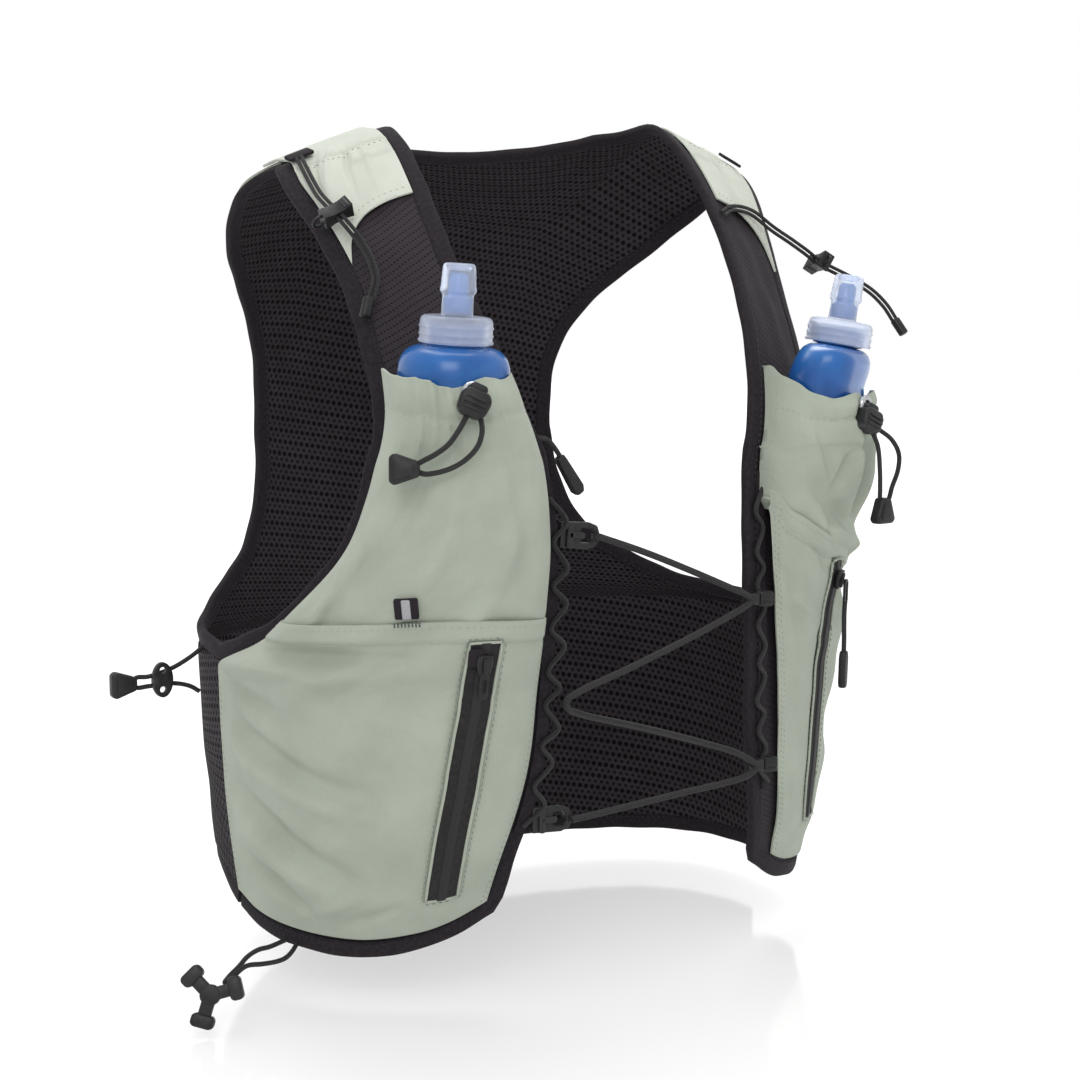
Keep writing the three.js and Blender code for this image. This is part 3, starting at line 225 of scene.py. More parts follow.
def cloth(name, outer, normals, thickness, finish, held=None, rests_on=None, **facts):
    rows, columns = outer.shape[:2]
    inner = outer - normals * thickness
    rim = outer - normals * thickness * 0.5
    points = np.concatenate([outer.reshape(-1, 3), inner.reshape(-1, 3)])
    flat = laid_flat(outer).reshape(-1, 3)
    first = rows * columns
    j, i = np.meshgrid(np.arange(rows - 1), np.arange(columns - 1), indexing="ij")
    a = (j * columns + i).ravel()
    quads = np.stack([a, a + 1, a + columns + 1, a + columns], 1)
    faces = quads.tolist() + (quads[:, ::-1] + first).tolist()
    border = ([i for i in range(columns)] + [j * columns + columns - 1 for j in range(1, rows)]
              + [(rows - 1) * columns + i for i in range(columns - 2, -1, -1)]
              + [j * columns for j in range(rows - 2, 0, -1)])
    spot = np.asarray(border)
    push = unit(rim.reshape(-1, 3)[spot] - outer[1:-1, 1:-1].reshape(-1, 3).mean(0))
    push -= normals.reshape(-1, 3)[spot] * (push * normals.reshape(-1, 3)[spot]).sum(-1, keepdims=True)
    edge = rim.reshape(-1, 3)[spot] + unit(push) * thickness * 0.3
    points = np.concatenate([points, edge])
    flat = np.concatenate([flat, flat, flat[spot]])
    count = len(border)
    for k in range(count):
        n = (k + 1) % count
        faces.append([border[k], border[n], 2 * first + n, 2 * first + k])
        faces.append([2 * first + k, 2 * first + n, border[n] + first, border[k] + first])
    piece = make_piece(name, points, faces, finish, flat=flat, sharp=60, **facts)
    return piece


class Finish:
    def __init__(self, name, roughness=0.8, **settings):
        self.material = bpy.data.materials.new(name)
        self.material.use_nodes = True
        self.tree = self.material.node_tree
        self.shader = self.tree.nodes["Principled BSDF"]
        self.shader.inputs["Roughness"].default_value = roughness
        for label, value in settings.items():
            self.shader.inputs[label.replace("_", " ")].default_value = value

    def node(self, kind, inputs, output=0, **settings):
        made = self.tree.nodes.new("ShaderNode" + kind)
        for key, value in settings.items():
            setattr(made, key, value)
        for key, value in inputs.items():
            socket = made.inputs[key]
            if isinstance(value, bpy.types.NodeSocket):
                self.tree.links.new(value, socket)
            else:
                socket.default_value = value
        return made.outputs[output]

    def flat(self):
        return self.node("Attribute", {}, "Vector", attribute_name="flat_mm")

    def place(self):
        return self.node("VectorMath", {0: self.node("TexCoord", {}, "Object"), 1: (1000, 1000, 1000)},
                         operation="MULTIPLY")

    def math(self, operation, a, b=0.0):
        return self.node("Math", {0: a, 1: b}, operation=operation)

    def noise(self, where, size, detail=3, rough=0.55):
        return self.node("TexNoise", {"Vector": where, "Scale": 1 / size, "Detail": detail,
                                      "Roughness": rough})

    def level(self, value, low, high, to_low=0.0, to_high=1.0):
        return self.node("MapRange", {0: value, 1: low, 2: high, 3: to_low, 4: to_high})

    def blend(self, share, first, second):
        return self.node("Mix", {0: share, 6: first, 7: second}, 2, data_type="RGBA")

    def holes(self, where, pitch, radius):
        half = (pitch / 2, pitch * 0.866, 1)
        back = tuple(-h for h in half)
        moved = self.node("VectorMath", {0: where, 1: half}, operation="ADD")
        gaps = []
        for spot in (where, moved):
            cell = self.node("VectorMath", {0: spot, 1: half, 2: back}, operation="WRAP")
            gaps.append(self.node("VectorMath", {0: cell}, "Value", operation="LENGTH"))
        return self.level(self.math("MINIMUM", *gaps), radius * 0.72, radius * 1.15)

    def waves(self, where, pitch_x, pitch_y):
        parts = self.node("SeparateXYZ", {0: where}, 0).node
        x = self.math("SINE", self.math("MULTIPLY", parts.outputs[0], 2 * math.pi / pitch_x))
        y = self.math("SINE", self.math("MULTIPLY", parts.outputs[1], 2 * math.pi / pitch_y))
        return self.math("MULTIPLY", x, y)

    def colour(self, value):
        self.tree.links.new(value, self.shader.inputs["Base Color"])

    def rough(self, value):
        self.tree.links.new(value, self.shader.inputs["Roughness"])

    def relief(self, height, depth_mm, strength=1.0, over=None):
        inputs = {"Height": height, "Distance": depth_mm * MM, "Strength": strength}
        if over is not None:
            inputs["Normal"] = over
        bump = self.node("Bump", inputs)
        self.tree.links.new(bump, self.shader.inputs["Normal"])
        return bump


# Black mesh cloth: the yarn tone varies at random; the holes take the much darker hollow colour, painted
# shade inside the open cells.
def mesh_cloth(name, pitch, radius, depth, turn, yarn, hollow):
    finish = Finish(name, 0.9, Specular_IOR_Level=0.12, Sheen_Weight=0.03, Sheen_Roughness=0.4)
    where = finish.node("Mapping", {"Vector": finish.flat(), "Rotation": (0, 0, turn)})
    solid = finish.holes(where, pitch, radius)
    cloudy = finish.noise(where, 18)
    tone = finish.math("MULTIPLY", solid, finish.level(cloudy, 0.3, 0.7, 0.75, 1))
    # holes get the hollow colour: painted shade in the open cells
    finish.colour(finish.blend(tone, hollow, yarn))
    finish.rough(finish.level(solid, 0, 1, 0.95, 0.72))
    threads = finish.waves(where, 0.5, 0.5)
    body = finish.relief(finish.math("ADD", solid, finish.math("MULTIPLY", threads, 0.06)), depth)
    finish.relief(finish.noise(where, 30, 2), 2.5, 0.5, body)
    return finish.material


# fine mesh: yarn colour, then the hollow colour, painted shade in the holes
fine_mesh = mesh_cloth("fine_black_mesh", 1.9, 0.5, 0.3, 0.42, (0.029, 0.0235, 0.028, 1),
                       (0.009, 0.0075, 0.009, 1))
front_rows = np.concatenate([np.linspace(front_bottom, 0, 100)[:-1], np.linspace(0, 1, 90)])
panels = {}
for name, side in sides.items():
    level, share = np.meshgrid(front_rows, np.linspace(0, 1, 41), indexing="ij")
    point, _, _, normal = frames(lambda a, l: front(side, a, l), share, level)
    panels[name] = {"share": share, "level": level, "point": point, "normal": normal}
    hollow = np.sin(level * 31 + share * 5) * np.sin(level * 13 - share * 7) * smooth(level, 0.1, 0.4)
    dished = np.sin(np.pi * np.clip(share, 0, 1)) * (0.9 * hollow - 0.6)
    piece = cloth(f"front_panel_{name}_cloth", point + normal * (front_wall + dished)[..., None], normal,
                  front_wall, fine_mesh, slot="black_mesh", stands_for=[f"front_panel_{name}"])

# Back panel: one piece of thick spacer mesh with open cells, black on both sides, whose wings
# run round to the side seams. It is what the wearer's back rests on.
back_wall = 4
wing_edge = [
    (-1, 0), (-0.44, 0), (-0.425, 18), (-0.4, 31), (-0.32, 48.8), (-0.258, 55.2), (-0.13, 60.1), (0, 61.4),
    (0.11, 61.1), (0.19, 59.6), (0.29, 55.7), (0.4, 49.6), (0.52, 41.8), (0.67, 35), (0.8, 31.8), (1, 37.2),
]
neck_edge = [(62, 1), (63, 0.93), (66.5, 0.846), (72.6, 0.784), (80, 0.748), (90, 0.73)]
back_bottom = -1.015
right_hem_lift = [(-1, 0), (0.2, 0), (0.45, 0.04), (0.65, 0.12), (0.85, 0.15), (0.94, 0.12), (1, 0.08)]


def behind(edges, place, level, top):
    share = 1 - np.abs(place)
    ridge_edge = max(edges)[1]
    ridge = ridge_edge + (90 - ridge_edge) * share
    neck = np.where(ridge < 62, 1, read(neck_edge, ridge))
    climbed = np.where(level <= 0.5, level, 0.5 + (np.minimum(neck, top) - 0.5) * (level - 0.5) / 0.5)
    edge = read(edges, climbed)
    return form(np.sign(place + 1e-9), 1, edge + (90 - edge) * share, climbed)


def back_grid(edges, rows, columns, top, reach=1.0):
    level, place = np.meshgrid(rows, columns, indexing="ij")
    lift = read(right_hem_lift, -place * reach) * smooth(-level, 0.55, 1.0)
    point = behind(edges, place, level + lift, top)
    return level, place, point, grid_normals(point, outward(point))


# spacer mesh: yarn colour, then the hollow colour, painted shade deep in the open cells
spacer_mesh = mesh_cloth("black_spacer_mesh", 4.0, 1.42, 1.2, 0.16, (0.040, 0.033, 0.039, 1),
                         (0.004, 0.0035, 0.004, 1))
rows = np.concatenate([np.linspace(back_bottom, -0.45, 60)[:-1], np.linspace(-0.45, -0.38, 16)[:-1],
                       np.linspace(-0.38, 1, 110)])
columns = np.concatenate([np.linspace(-1, 0, 71)[:-1], np.linspace(0, 1, 71)])
level, place, back_point, back_normal = back_grid(wing_edge, rows, columns, 1)
back_rows, back_columns = rows, columns
quilt = 0.6 * np.sin(level * 17) * np.sin(place * 9 + level * 4)
piece = cloth("back_panel_cloth", back_point + back_normal * (back_wall + quilt)[..., None], back_normal,
              back_wall, spacer_mesh, slot="black_mesh", stands_for=["back_panel"])

# Back cover: the thin outer cloth of the rear storage pocket, pale green woven nylon sewn down
# along its edges and puffed out a little in the middle.
cover_edge = [
    (-1, 42), (-0.6, 44), (-0.4, 50), (-0.258, 56.4), (-0.13, 61), (0, 62.4), (0.11, 62), (0.19, 60.4),
    (0.29, 56.6), (0.4, 50.6), (0.52, 42.8), (0.67, 36), (0.8, 32.8), (1, 38.2),
]
cover_bottom, cover_room = -1, 12


def green_cloth(name, low, high):
    finish = Finish(name, 0.72, Specular_IOR_Level=0.25, Sheen_Weight=0.08, Sheen_Roughness=0.45)
    where = finish.flat()
    weave = finish.waves(where, 0.42, 0.42)
    cloudy = finish.noise(where, 32, 4)
    speckle = finish.noise(where, 0.9, 2)
    tone = finish.math("ADD", finish.math("MULTIPLY", cloudy, 0.7), finish.math("MULTIPLY", speckle, 0.3))
    finish.colour(finish.blend(finish.level(tone, 0.32, 0.68), low, high))
    finish.rough(finish.level(weave, -1, 1, 0.78, 0.66))
    fine = finish.relief(weave, 0.05, 0.7)
    stretched = finish.node("VectorMath", {0: where, 1: (1, 0.35, 1)}, operation="MULTIPLY")
    puckers = finish.relief(finish.noise(stretched, 7, 3), 0.9, 0.35, fine)
    finish.relief(finish.noise(where, 26, 2), 3.0, 0.3, puckers)
    return finish.material


green = green_cloth("green_nylon", (0.29, 0.32, 0.262, 1), (0.357, 0.393, 0.326, 1))
stitch_finish = Finish("sewing_thread", 0.6, Sheen_Weight=0.2)
stitch_finish.colour(stitch_finish.blend(stitch_finish.noise(stitch_finish.place(), 1.5),
                                         (0.10, 0.105, 0.10, 1), (0.17, 0.18, 0.165, 1)))
stitch_finish.relief(stitch_finish.noise(stitch_finish.place(), 0.25), 0.1)
pale_thread = Finish("pale_thread", 0.6, Sheen_Weight=0.2)
pale_thread.colour(pale_thread.blend(pale_thread.noise(pale_thread.place(), 1.5), (0.27, 0.31, 0.25, 1),
                                     (0.36, 0.40, 0.33, 1)))
pale_thread.relief(pale_thread.noise(pale_thread.place(), 0.25), 0.1)
dark_thread = Finish("dark_thread", 0.6)
dark_thread.colour(dark_thread.blend(dark_thread.noise(dark_thread.place(), 1.5), (0.02, 0.02, 0.022, 1),
                                     (0.05, 0.048, 0.055, 1)))
dark_thread.relief(dark_thread.noise(dark_thread.place(), 0.25), 0.1)


def stitches(name, lines, thread, length=2.3, gap=1.0, wide=0.5, **facts):
    points, faces = [], []
    for path, normals in lines:
        path, normals = np.asarray(path, float), np.asarray(normals, float)
        run = np.concatenate([[0], np.cumsum(np.linalg.norm(np.diff(path, axis=0), axis=-1))])
        for start in np.arange(gap, run[-1] - length, length + gap):
            spots = [np.array([np.interp(start + part * length, run, path[:, k]) for k in range(3)])
                     for part in (0, 0.5, 1)]
            n = unit(np.array([np.interp(start + length / 2, run, normals[:, k]) for k in range(3)]))
            across = unit(np.cross(spots[2] - spots[0], n)) * wide / 2
            first = len(points)
            points += [spots[0] - n * 0.15, spots[2] - n * 0.15, spots[1] + across, spots[1] - across,
                       spots[1] + n * wide * 0.62, spots[1] - n * 0.3]
            for a, b in ((2, 4), (4, 3), (3, 5), (5, 2)):
                faces += [[first, first + a, first + b], [first + 1, first + b, first + a]]
    return make_piece(name, points, faces, thread.material, sharp=80, **facts)


cover_rows = np.linspace(cover_bottom, 1, 130)
cover_columns = np.linspace(-1, 1, 121)
level, place, point, normal = back_grid(cover_edge, cover_rows, cover_columns, 0.955, 0.53)
height = (level - cover_bottom) / (0.5 - cover_bottom)
rise = np.where(height > 1, 0, np.clip(np.sin(np.pi * np.clip(height, 0, 1)), 0, 1) ** 0.6)
swell = cover_room * rise * (1 - np.abs(place) ** 2.4)
ripple = (0.9 * np.sin(place * 23 + level * 5) * np.sin(level * 9 + 1)
          + 0.6 * np.sin(place * 11 - level * 17)) * rise
seam = -1.2 * np.exp(-((np.abs(place) - 0.46) / 0.012) ** 2) - 1.0 * np.exp(-((level - 0.42) / 0.012) ** 2)
cover_stand = back_wall + 3.5 - 2.4 * smooth(level, 0.7, 0.97) + swell + ripple + seam
cover_point = point + normal * cover_stand[..., None]
cover_normal = grid_normals(cover_point, normal)
cloth("back_cover_cloth", cover_point, cover_normal, 1.5, green, "stretched", "back_panel_cloth",
      slot="sage_nylon", stands_for=["back_cover"])
seams = []
for shift in (-2, 2):
    for k in (28 + shift, 92 - shift):
        seams.append((cover_point[2:-2, k], cover_normal[2:-2, k]))
for k in (90, 94):
    seams.append((cover_point[k, 2:-2], cover_normal[k, 2:-2]))
stitches("back_cover_stitches", seams, pale_thread, slot="sage_nylon")

# Bindings: ribbed black tape folded over each raw edge and stitched through near its inner side.
# One runs round each armhole, one up the front and round the neck, one along the back hem.
tape_width, tape_thickness = 9.2, 4.4
tape = Finish("binding_tape", 0.85, Specular_IOR_Level=0.12, Sheen_Weight=0.04, Sheen_Roughness=0.4)
where = tape.flat()
ribs = tape.waves(where, 0.9, 400)
nap = tape.noise(where, 2.2, 3)
tape.colour(tape.blend(tape.level(nap, 0.3, 0.7), (0.0125, 0.010, 0.0125, 1), (0.023, 0.019, 0.023, 1)))
tape.relief(tape.noise(where, 9, 2), 1.0, 0.4, tape.relief(tape.math("ADD", ribs, nap), 0.16, 0.8))


def edge_line(points, normals, insides, closed):
    before, after = np.roll(points, 1, 0), np.roll(points, -1, 0)
    if not closed:
        before[0], after[-1] = points[0], points[-1]
    along = unit(after - before)
    across = unit(np.cross(along, normals))
    across = np.where((across * (points - insides)).sum(-1, keepdims=True) < 0, -across, across)
    for _ in range(6):
        mixed = (np.roll(across, 1, 0) + 2 * across + np.roll(across, -1, 0)) / 4
        if not closed:
            mixed[0], mixed[-1] = across[0], across[-1]
        across = unit(mixed - along * (mixed * along).sum(-1, keepdims=True))
    stand = unit(np.cross(across, along))
    stand = np.where((stand * normals).sum(-1, keepdims=True) < 0, -stand, stand)
    return {"point": points, "along": along, "across": across, "normal": stand}


def even_steps(line, step, closed):
    keys = ["point", "across", "normal"]
    loop = {k: np.concatenate([line[k], line[k][:1]]) if closed else line[k] for k in keys}
    run = np.concatenate([[0], np.cumsum(np.linalg.norm(np.diff(loop["point"], axis=0), axis=-1))])
    count = int(run[-1] / step)
    at = np.linspace(0, run[-1], count + 1)
    if closed:
        at = at[:-1]
    made = {k: np.stack([np.interp(at, run, loop[k][:, c]) for c in range(3)], -1) for k in keys}
    made["across"], made["normal"], made["run"] = unit(made["across"]), unit(made["normal"]), at
    return made


def swept(name, centres, across, normals, section, run, closed, finish, **facts):
    count = len(section)
    points = (centres[:, None] + across[:, None] * section[None, :, :1]
              + normals[:, None] * section[None, :, 1:2])
    turn = np.concatenate([[0], np.cumsum(np.linalg.norm(np.diff(section[:, :2], axis=0), axis=-1))])
    flat = np.stack(np.broadcast_arrays(run[:, None], turn[None, :], 0.0), -1)
    faces = []
    for j in range(len(centres) if closed else len(centres) - 1):
        n = (j + 1) % len(centres)
        for i in range(count):
            k = (i + 1) % count
            faces.append([j * count + i, j * count + k, n * count + k, n * count + i])
    if not closed:
        faces.append(list(range(count)))
        faces.append([(len(centres) - 1) * count + i for i in range(count)][::-1])
    return make_piece(name, points.reshape(-1, 3), faces, finish, flat=flat.reshape(-1, 3), **facts)


def tape_section(width, thickness):
    turns = np.linspace(0, 2 * np.pi, 20, endpoint=False)
    x = np.sign(np.cos(turns)) * np.abs(np.cos(turns)) ** 0.45 * width / 2
    y = np.sign(np.sin(turns)) * np.abs(np.sin(turns)) ** 0.6 * thickness / 2
    swell = 1 + 0.12 * (x / (width / 2))
    return np.stack([x, y * swell], -1)


def bind(name, line, closed, lift, node):
    track = even_steps(line, 3.2, closed)
    wander = 0.35 * np.sin(track["run"] * 0.21) + 0.25 * np.sin(track["run"] * 0.067 + 2)
    spread = clearance + tape_width / 2 - 0.7 + wander * 0.6
    centres = track["point"] + track["normal"] * lift + track["across"] * spread[:, None]
    swept(name, centres, track["across"], track["normal"], tape_section(tape_width, tape_thickness),
          track["run"], closed, tape.material, slot="black_tape", stands_for=[node])
    lines = []
    for face in (1, -1):
        seam = centres - track["across"] * 2.7 + track["normal"] * face * (tape_thickness / 2 - 0.12)
        lines.append((seam, track["normal"] * face))
    stitches(f"{name}_stitches", lines, dark_thread, slot="black_tape")
    return track


def column(grid, normals, i, inner):
    low = np.concatenate([grid[:1, inner], grid[:-1, inner]])
    return grid[:, i], normals[:, i], low


for name, side in sides.items():
    panel = panels[name]
    keep = front_rows >= -0.43
    a = [part[keep][::-1] for part in column(panel["point"], panel["normal"], -1, -3)]
    edge = 0 if side < 0 else -1
    keep = back_rows >= -0.441
    b = [part[keep][:-1] for part in column(back_point, back_normal, edge, 2 if edge == 0 else -3)]
    line = edge_line(*[np.concatenate([p, q]) for p, q in zip(a, b)], True)
    bind(f"armhole_tape_{name}", line, True, front_wall / 2, f"armhole_binding_{name}")

parts = []
for name in ("right", "left"):
    panel = panels[name]
    hem = [panel["point"][0][::-1], panel["normal"][0][::-1], panel["point"][4][::-1]]
    rise_line = [part[1:-1] for part in column(panel["point"], panel["normal"], 0, 2)]
    joined = [np.concatenate([p, q]) for p, q in zip(hem, rise_line)]
    parts.append(joined if name == "right" else [part[::-1] for part in joined])
neck = np.abs(back_columns) <= 0.53
neckline = [back_point[-1][neck], back_normal[-1][neck], back_point[-8][neck]]
line = edge_line(*[np.concatenate(three) for three in zip(parts[0], neckline, parts[1])], False)
bind("neck_tape", line, False, front_wall / 2, "neck_binding")
hem_line = edge_line(back_point[0], back_normal[0], back_point[4], False)
bind("back_hem_tape", hem_line, False, back_wall / 2, "back_hem_binding")

# Bottle pockets: green nylon sacks sewn up the sides of each front panel, with a drawcord casing
# folded along the open mouth. They tuck in behind the lower pockets.
pocket_room, pocket_wall = 58, 1.3
swell_at = [
    (-0.99, 0), (-0.93, 0.09), (-0.84, 0.21), (-0.7, 0.33), (-0.55, 0.43), (-0.4, 0.53), (-0.3, 0.63),
    (-0.15, 0.79), (0, 0.92), (0.12, 0.98), (0.24, 1),
]
pocket_seat = front_wall + 0.55
mouth_level, lower_top, tuck_level = 0.145, -0.305, -0.345
left_share = [(-1, 0.12), (-0.6, 0.17), (-0.47, 0.21), (-0.355, 0.25), (-0.275, 0.33), (-0.19, 0.44),
              (-0.115, 0.54), (-0.065, 0.61), (0.02, 0.67), (0.08, 0.7), (0.135, 0.73), (0.155, 0.82)]
left_flap = [(0, -0.088), (0.05, -0.131), (0.1, -0.147), (0.2, -0.173), (0.3, -0.192), (0.4, -0.209),
             (0.5, -0.227), (0.6, -0.241), (0.7, -0.25), (0.8, -0.254), (0.9, -0.25), (1, -0.24)]
mouth_rise = {"right": [(0, 0.045), (0.12, 0.022), (0.3, 0.004), (0.5, 0), (0.7, 0.012), (0.88, 0.046),
                        (1, 0.081)],
              "left": [(0, 0.08), (0.003, 0.052), (0.01, 0.036), (0.02, 0.024), (0.04, 0.009), (0.07, -0.006),
                       (0.1, -0.015), (0.15, -0.021), (0.2, -0.025), (0.3, -0.028), (0.4, -0.025),
                       (0.5, -0.021), (0.7, -0.015), (0.9, -0.005), (1, 0.039)]}


def pocket_shape(across, level):
    even = np.clip(4 * across * (1 - across), 0, 1) ** 0.35
    skewed = 2.9 * np.clip(across, 0, 1) ** 0.5 * np.clip(1 - across, 0, 1) ** 1.3
    return even + (skewed - even) * smooth(-level, 0.3, 0.5)


def fullness(name, level):
    return pocket_room * (1 if name == "right" else read(left_share, level)) * read(swell_at, level)


def lower_edge(name, share):
    return lower_top + 0.012 * np.sin(share * 5) if name == "right" else read(left_flap, share)


def relaxed(points, passes):
    for _ in range(passes):
        points = np.concatenate([points[:1], (points[:-2] + 2 * points[1:-1] + points[2:]) / 4, points[-1:]])
    return points


def crease(across, level, start, end, width, height):
    x, y = across * 150, level * 240
    (x0, y0), (x1, y1) = ((start[0] * 150, start[1] * 240), (end[0] * 150, end[1] * 240))
    length = math.hypot(x1 - x0, y1 - y0)
    t = np.clip(((x - x0) * (x1 - x0) + (y - y0) * (y1 - y0)) / length ** 2, 0, 1)
    gap = np.hypot(x - x0 - t * (x1 - x0), y - y0 - t * (y1 - y0))
    return height * np.exp(-(1.2 * gap / width) ** 2) * np.sin(np.pi * (0.08 + 0.84 * t))


def bottle_base(name, share, level):
    margin = 0.06 * smooth(lower_edge(name, share) - level, 0.01, 0.04)
    across = margin + (1 - 2 * margin) * share
    corner = read(mouth_rise[name], share) * smooth(level, -0.01, mouth_level)
    point, _, _, normal = frames(lambda a, l: front(sides[name], a, l), across, level + corner)
    height = pocket_seat + 1.3 + fullness(name, np.minimum(level, 0.13)) * pocket_shape(share, level)
    return point + normal * height[..., None], normal


bottle_creases = {
    "right": [((0.12, 0.0), (0.42, 0.06), 5, -2.4), ((0.3, 0.09), (0.12, -0.25), 7, -2.2),
              ((0.6, 0.07), (0.78, -0.2), 8, -2.2), ((0.5, -0.05), (0.55, -0.3), 10, 2.0),
              ((0.75, 0.06), (0.9, -0.12), 6, -2.2), ((0.2, -0.1), (0.3, -0.32), 7, 1.8),
              ((0.55, 0.1), (0.5, 0.0), 3, -1.8), ((0.66, 0.1), (0.7, 0.0), 3, -1.9),
              ((0.9, -0.05), (0.8, -0.32), 6, 2.0), ((0.93, -0.2), (0.72, -0.31), 5, -2.4),
              ((0.97, -0.14), (0.8, -0.3), 4, 1.8)],
    "left": [((0.1, 0.08), (0.35, -0.1), 6, -2.8), ((0.3, 0.1), (0.55, -0.14), 7, 2.4),
             ((0.5, 0.08), (0.66, -0.2), 6, -2.8), ((0.15, -0.08), (0.5, -0.16), 5, -2.4),
             ((0.72, 0.06), (0.62, -0.28), 8, 2.6), ((0.85, 0.05), (0.8, -0.2), 6, -2.6),
             ((0.2, -0.16), (0.7, -0.24), 6, 2.4), ((0.42, 0.0), (0.3, -0.2), 5, -2.2),
             ((0.1, -0.2), (0.6, -0.3), 5, -2.2)],
}
bottle_rows = np.concatenate([np.linspace(tuck_level, 0.05, 80)[:-1], np.linspace(0.05, mouth_level, 44)])
bottle_shares = (1 - np.cos(np.linspace(0, np.pi, 101))) / 2
bottle_grids = {}
for name in sides:
    level, share = np.meshgrid(bottle_rows, bottle_shares, indexing="ij")
    bottom = lower_edge(name, share) - 0.04
    low = bottom + (level - tuck_level) / (0.05 - tuck_level) * (0.05 - bottom)
    level = np.where(level < 0.05, low, level)
    point, normal = bottle_base(name, share, level)
    point = relaxed(point, 14)
    open_part = np.clip(4 * share * (1 - share), 0, 1) ** 0.5
    near_mouth = smooth(level, -0.02, mouth_level)
    gather = (1.2 * near_mouth * np.sin(share * 44 + 3 * np.sin(share * 9))
              + 0.35 * near_mouth * np.sin(share * 83))
    casing = 1.5 * np.exp(-((level - 0.118) / 0.016) ** 2) - 1.4 * np.exp(-((level - 0.088) / 0.007) ** 2)
    folds = (2.2 if name == "right" else 3.0) * sum(crease(share, level, *fold)
                                                    for fold in bottle_creases[name])
    loose = 0.8 * np.sin(share * 15 + level * 21) * np.sin(level * 29 + share * 6)
    stand = (gather + casing + folds + loose) * open_part
    deepest = 2.3 + 2 * (1 - smooth(level, -0.1, 0.06))
    stand = np.where(stand < 0, deepest * np.tanh(stand / deepest), stand)
    point = point + normal * stand[..., None]
    drop = 1.6 * np.sin(share * 17 + 2.2) * smooth(level, 0.06, mouth_level) * open_part
    scallop = np.array([0, 0, 1.0]) * drop[..., None]
    point = point + scallop
    normal = grid_normals(point, normal)
    bottle_grids[name] = (point, normal)
    cloth(f"bottle_pocket_{name}_cloth", point, normal, pocket_wall, green, "gathered",
          f"front_panel_{name}_cloth", slot="sage_nylon", stands_for=[f"bottle_pocket_{name}"])
    row = int(np.argmin(np.abs(bottle_rows - 0.088)))
    lines = [(point[row, 4:-4], normal[row, 4:-4])]
    for k in (3, 97):
        lines.append((point[2:-2, k], normal[2:-2, k]))
    stitches(f"bottle_pocket_{name}_stitches", lines, pale_thread, slot="sage_nylon")

# Lower pockets: a second, fuller green pocket over the bottom of each panel, with a hemmed top
# edge, side seams into the binding and a zip let in beside the front edge.
zip_at = {
    "right": [(-0.86, 0.156), (-0.79, 0.166), (-0.72, 0.176), (-0.65, 0.18), (-0.58, 0.18), (-0.51, 0.174),
              (-0.44, 0.166), (-0.37, 0.206), (-0.33, 0.226)],
    "left": [(-0.86, 0.318), (-0.82, 0.293), (-0.75, 0.274), (-0.65, 0.275), (-0.55, 0.28), (-0.47, 0.268),
             (-0.42, 0.275), (-0.37, 0.339), (-0.33, 0.393), (-0.3, 0.43), (-0.27, 0.45), (-0.24, 0.454)],
}
zip_top = {"right": -0.332, "left": -0.252}
left_inset = [(-1, 0.06), (-0.6, 0.06), (-0.5, 0.052), (-0.4, 0.042), (-0.3, 0.034), (-0.2, 0.014),
              (-0.12, 0.004), (-0.05, 0)]
lower_bottom = -0.972
lower_creases = {
    "right": [((0.99, -0.375), (0.42, -0.36), 5, -2.4), ((0.99, -0.41), (0.5, -0.40), 6, 2.0),
              ((0.99, -0.46), (0.66, -0.49), 6, -2.2), ((0.99, -0.53), (0.42, -0.64), 7, -2.6),
              ((0.99, -0.575), (0.38, -0.69), 9, 2.2), ((0.99, -0.67), (0.4, -0.83), 8, -2.8),
              ((0.99, -0.72), (0.48, -0.87), 8, 2.2), ((0.97, -0.82), (0.55, -0.92), 6, -2.2),
              ((0.5, -0.35), (0.64, -0.52), 9, 1.8), ((0.36, -0.48), (0.43, -0.75), 10, -1.6),
              ((0.28, -0.88), (0.46, -0.94), 4, -1.6), ((0.4, -0.86), (0.6, -0.93), 5, 1.4),
              ((0.08, -0.4), (0.07, -0.8), 4, -1.0)],
    "left": [((0.5, -0.3), (0.45, -0.6), 8, 2.4), ((0.36, -0.35), (0.34, -0.8), 6, -2.4),
             ((0.7, -0.34), (0.6, -0.7), 9, -2.4), ((0.08, -0.22), (0.16, -0.46), 4, -2.0),
             ((0.05, -0.3), (0.3, -0.4), 4, 1.8), ((0.06, -0.5), (0.09, -0.85), 4, 1.6),
             ((0.85, -0.4), (0.5, -0.9), 8, 2.2), ((0.2, -0.2), (0.5, -0.32), 4, -1.6),
             ((0.05, -0.62), (0.12, -0.8), 5, -1.8)],
}


def lower_stand(across, level):
    edge = np.clip(np.minimum(8 * across, 8 - 8 * across), 0, 1)
    return 2.2 * smooth(level, -0.5, -0.38) * np.maximum(edge, 0.12)


def lower_point(name, across, level):
    point, _, _, normal = frames(lambda a, l: front(sides[name], a, l), across, level)
    height = (pocket_seat + 1.3 + fullness(name, level) * pocket_shape(across, level)
              + lower_stand(across, level))
    return point + normal * height[..., None]


def zip_frames(name, level):
    return frames(lambda a, l: lower_point(name, a, l), read(zip_at[name], level), level)


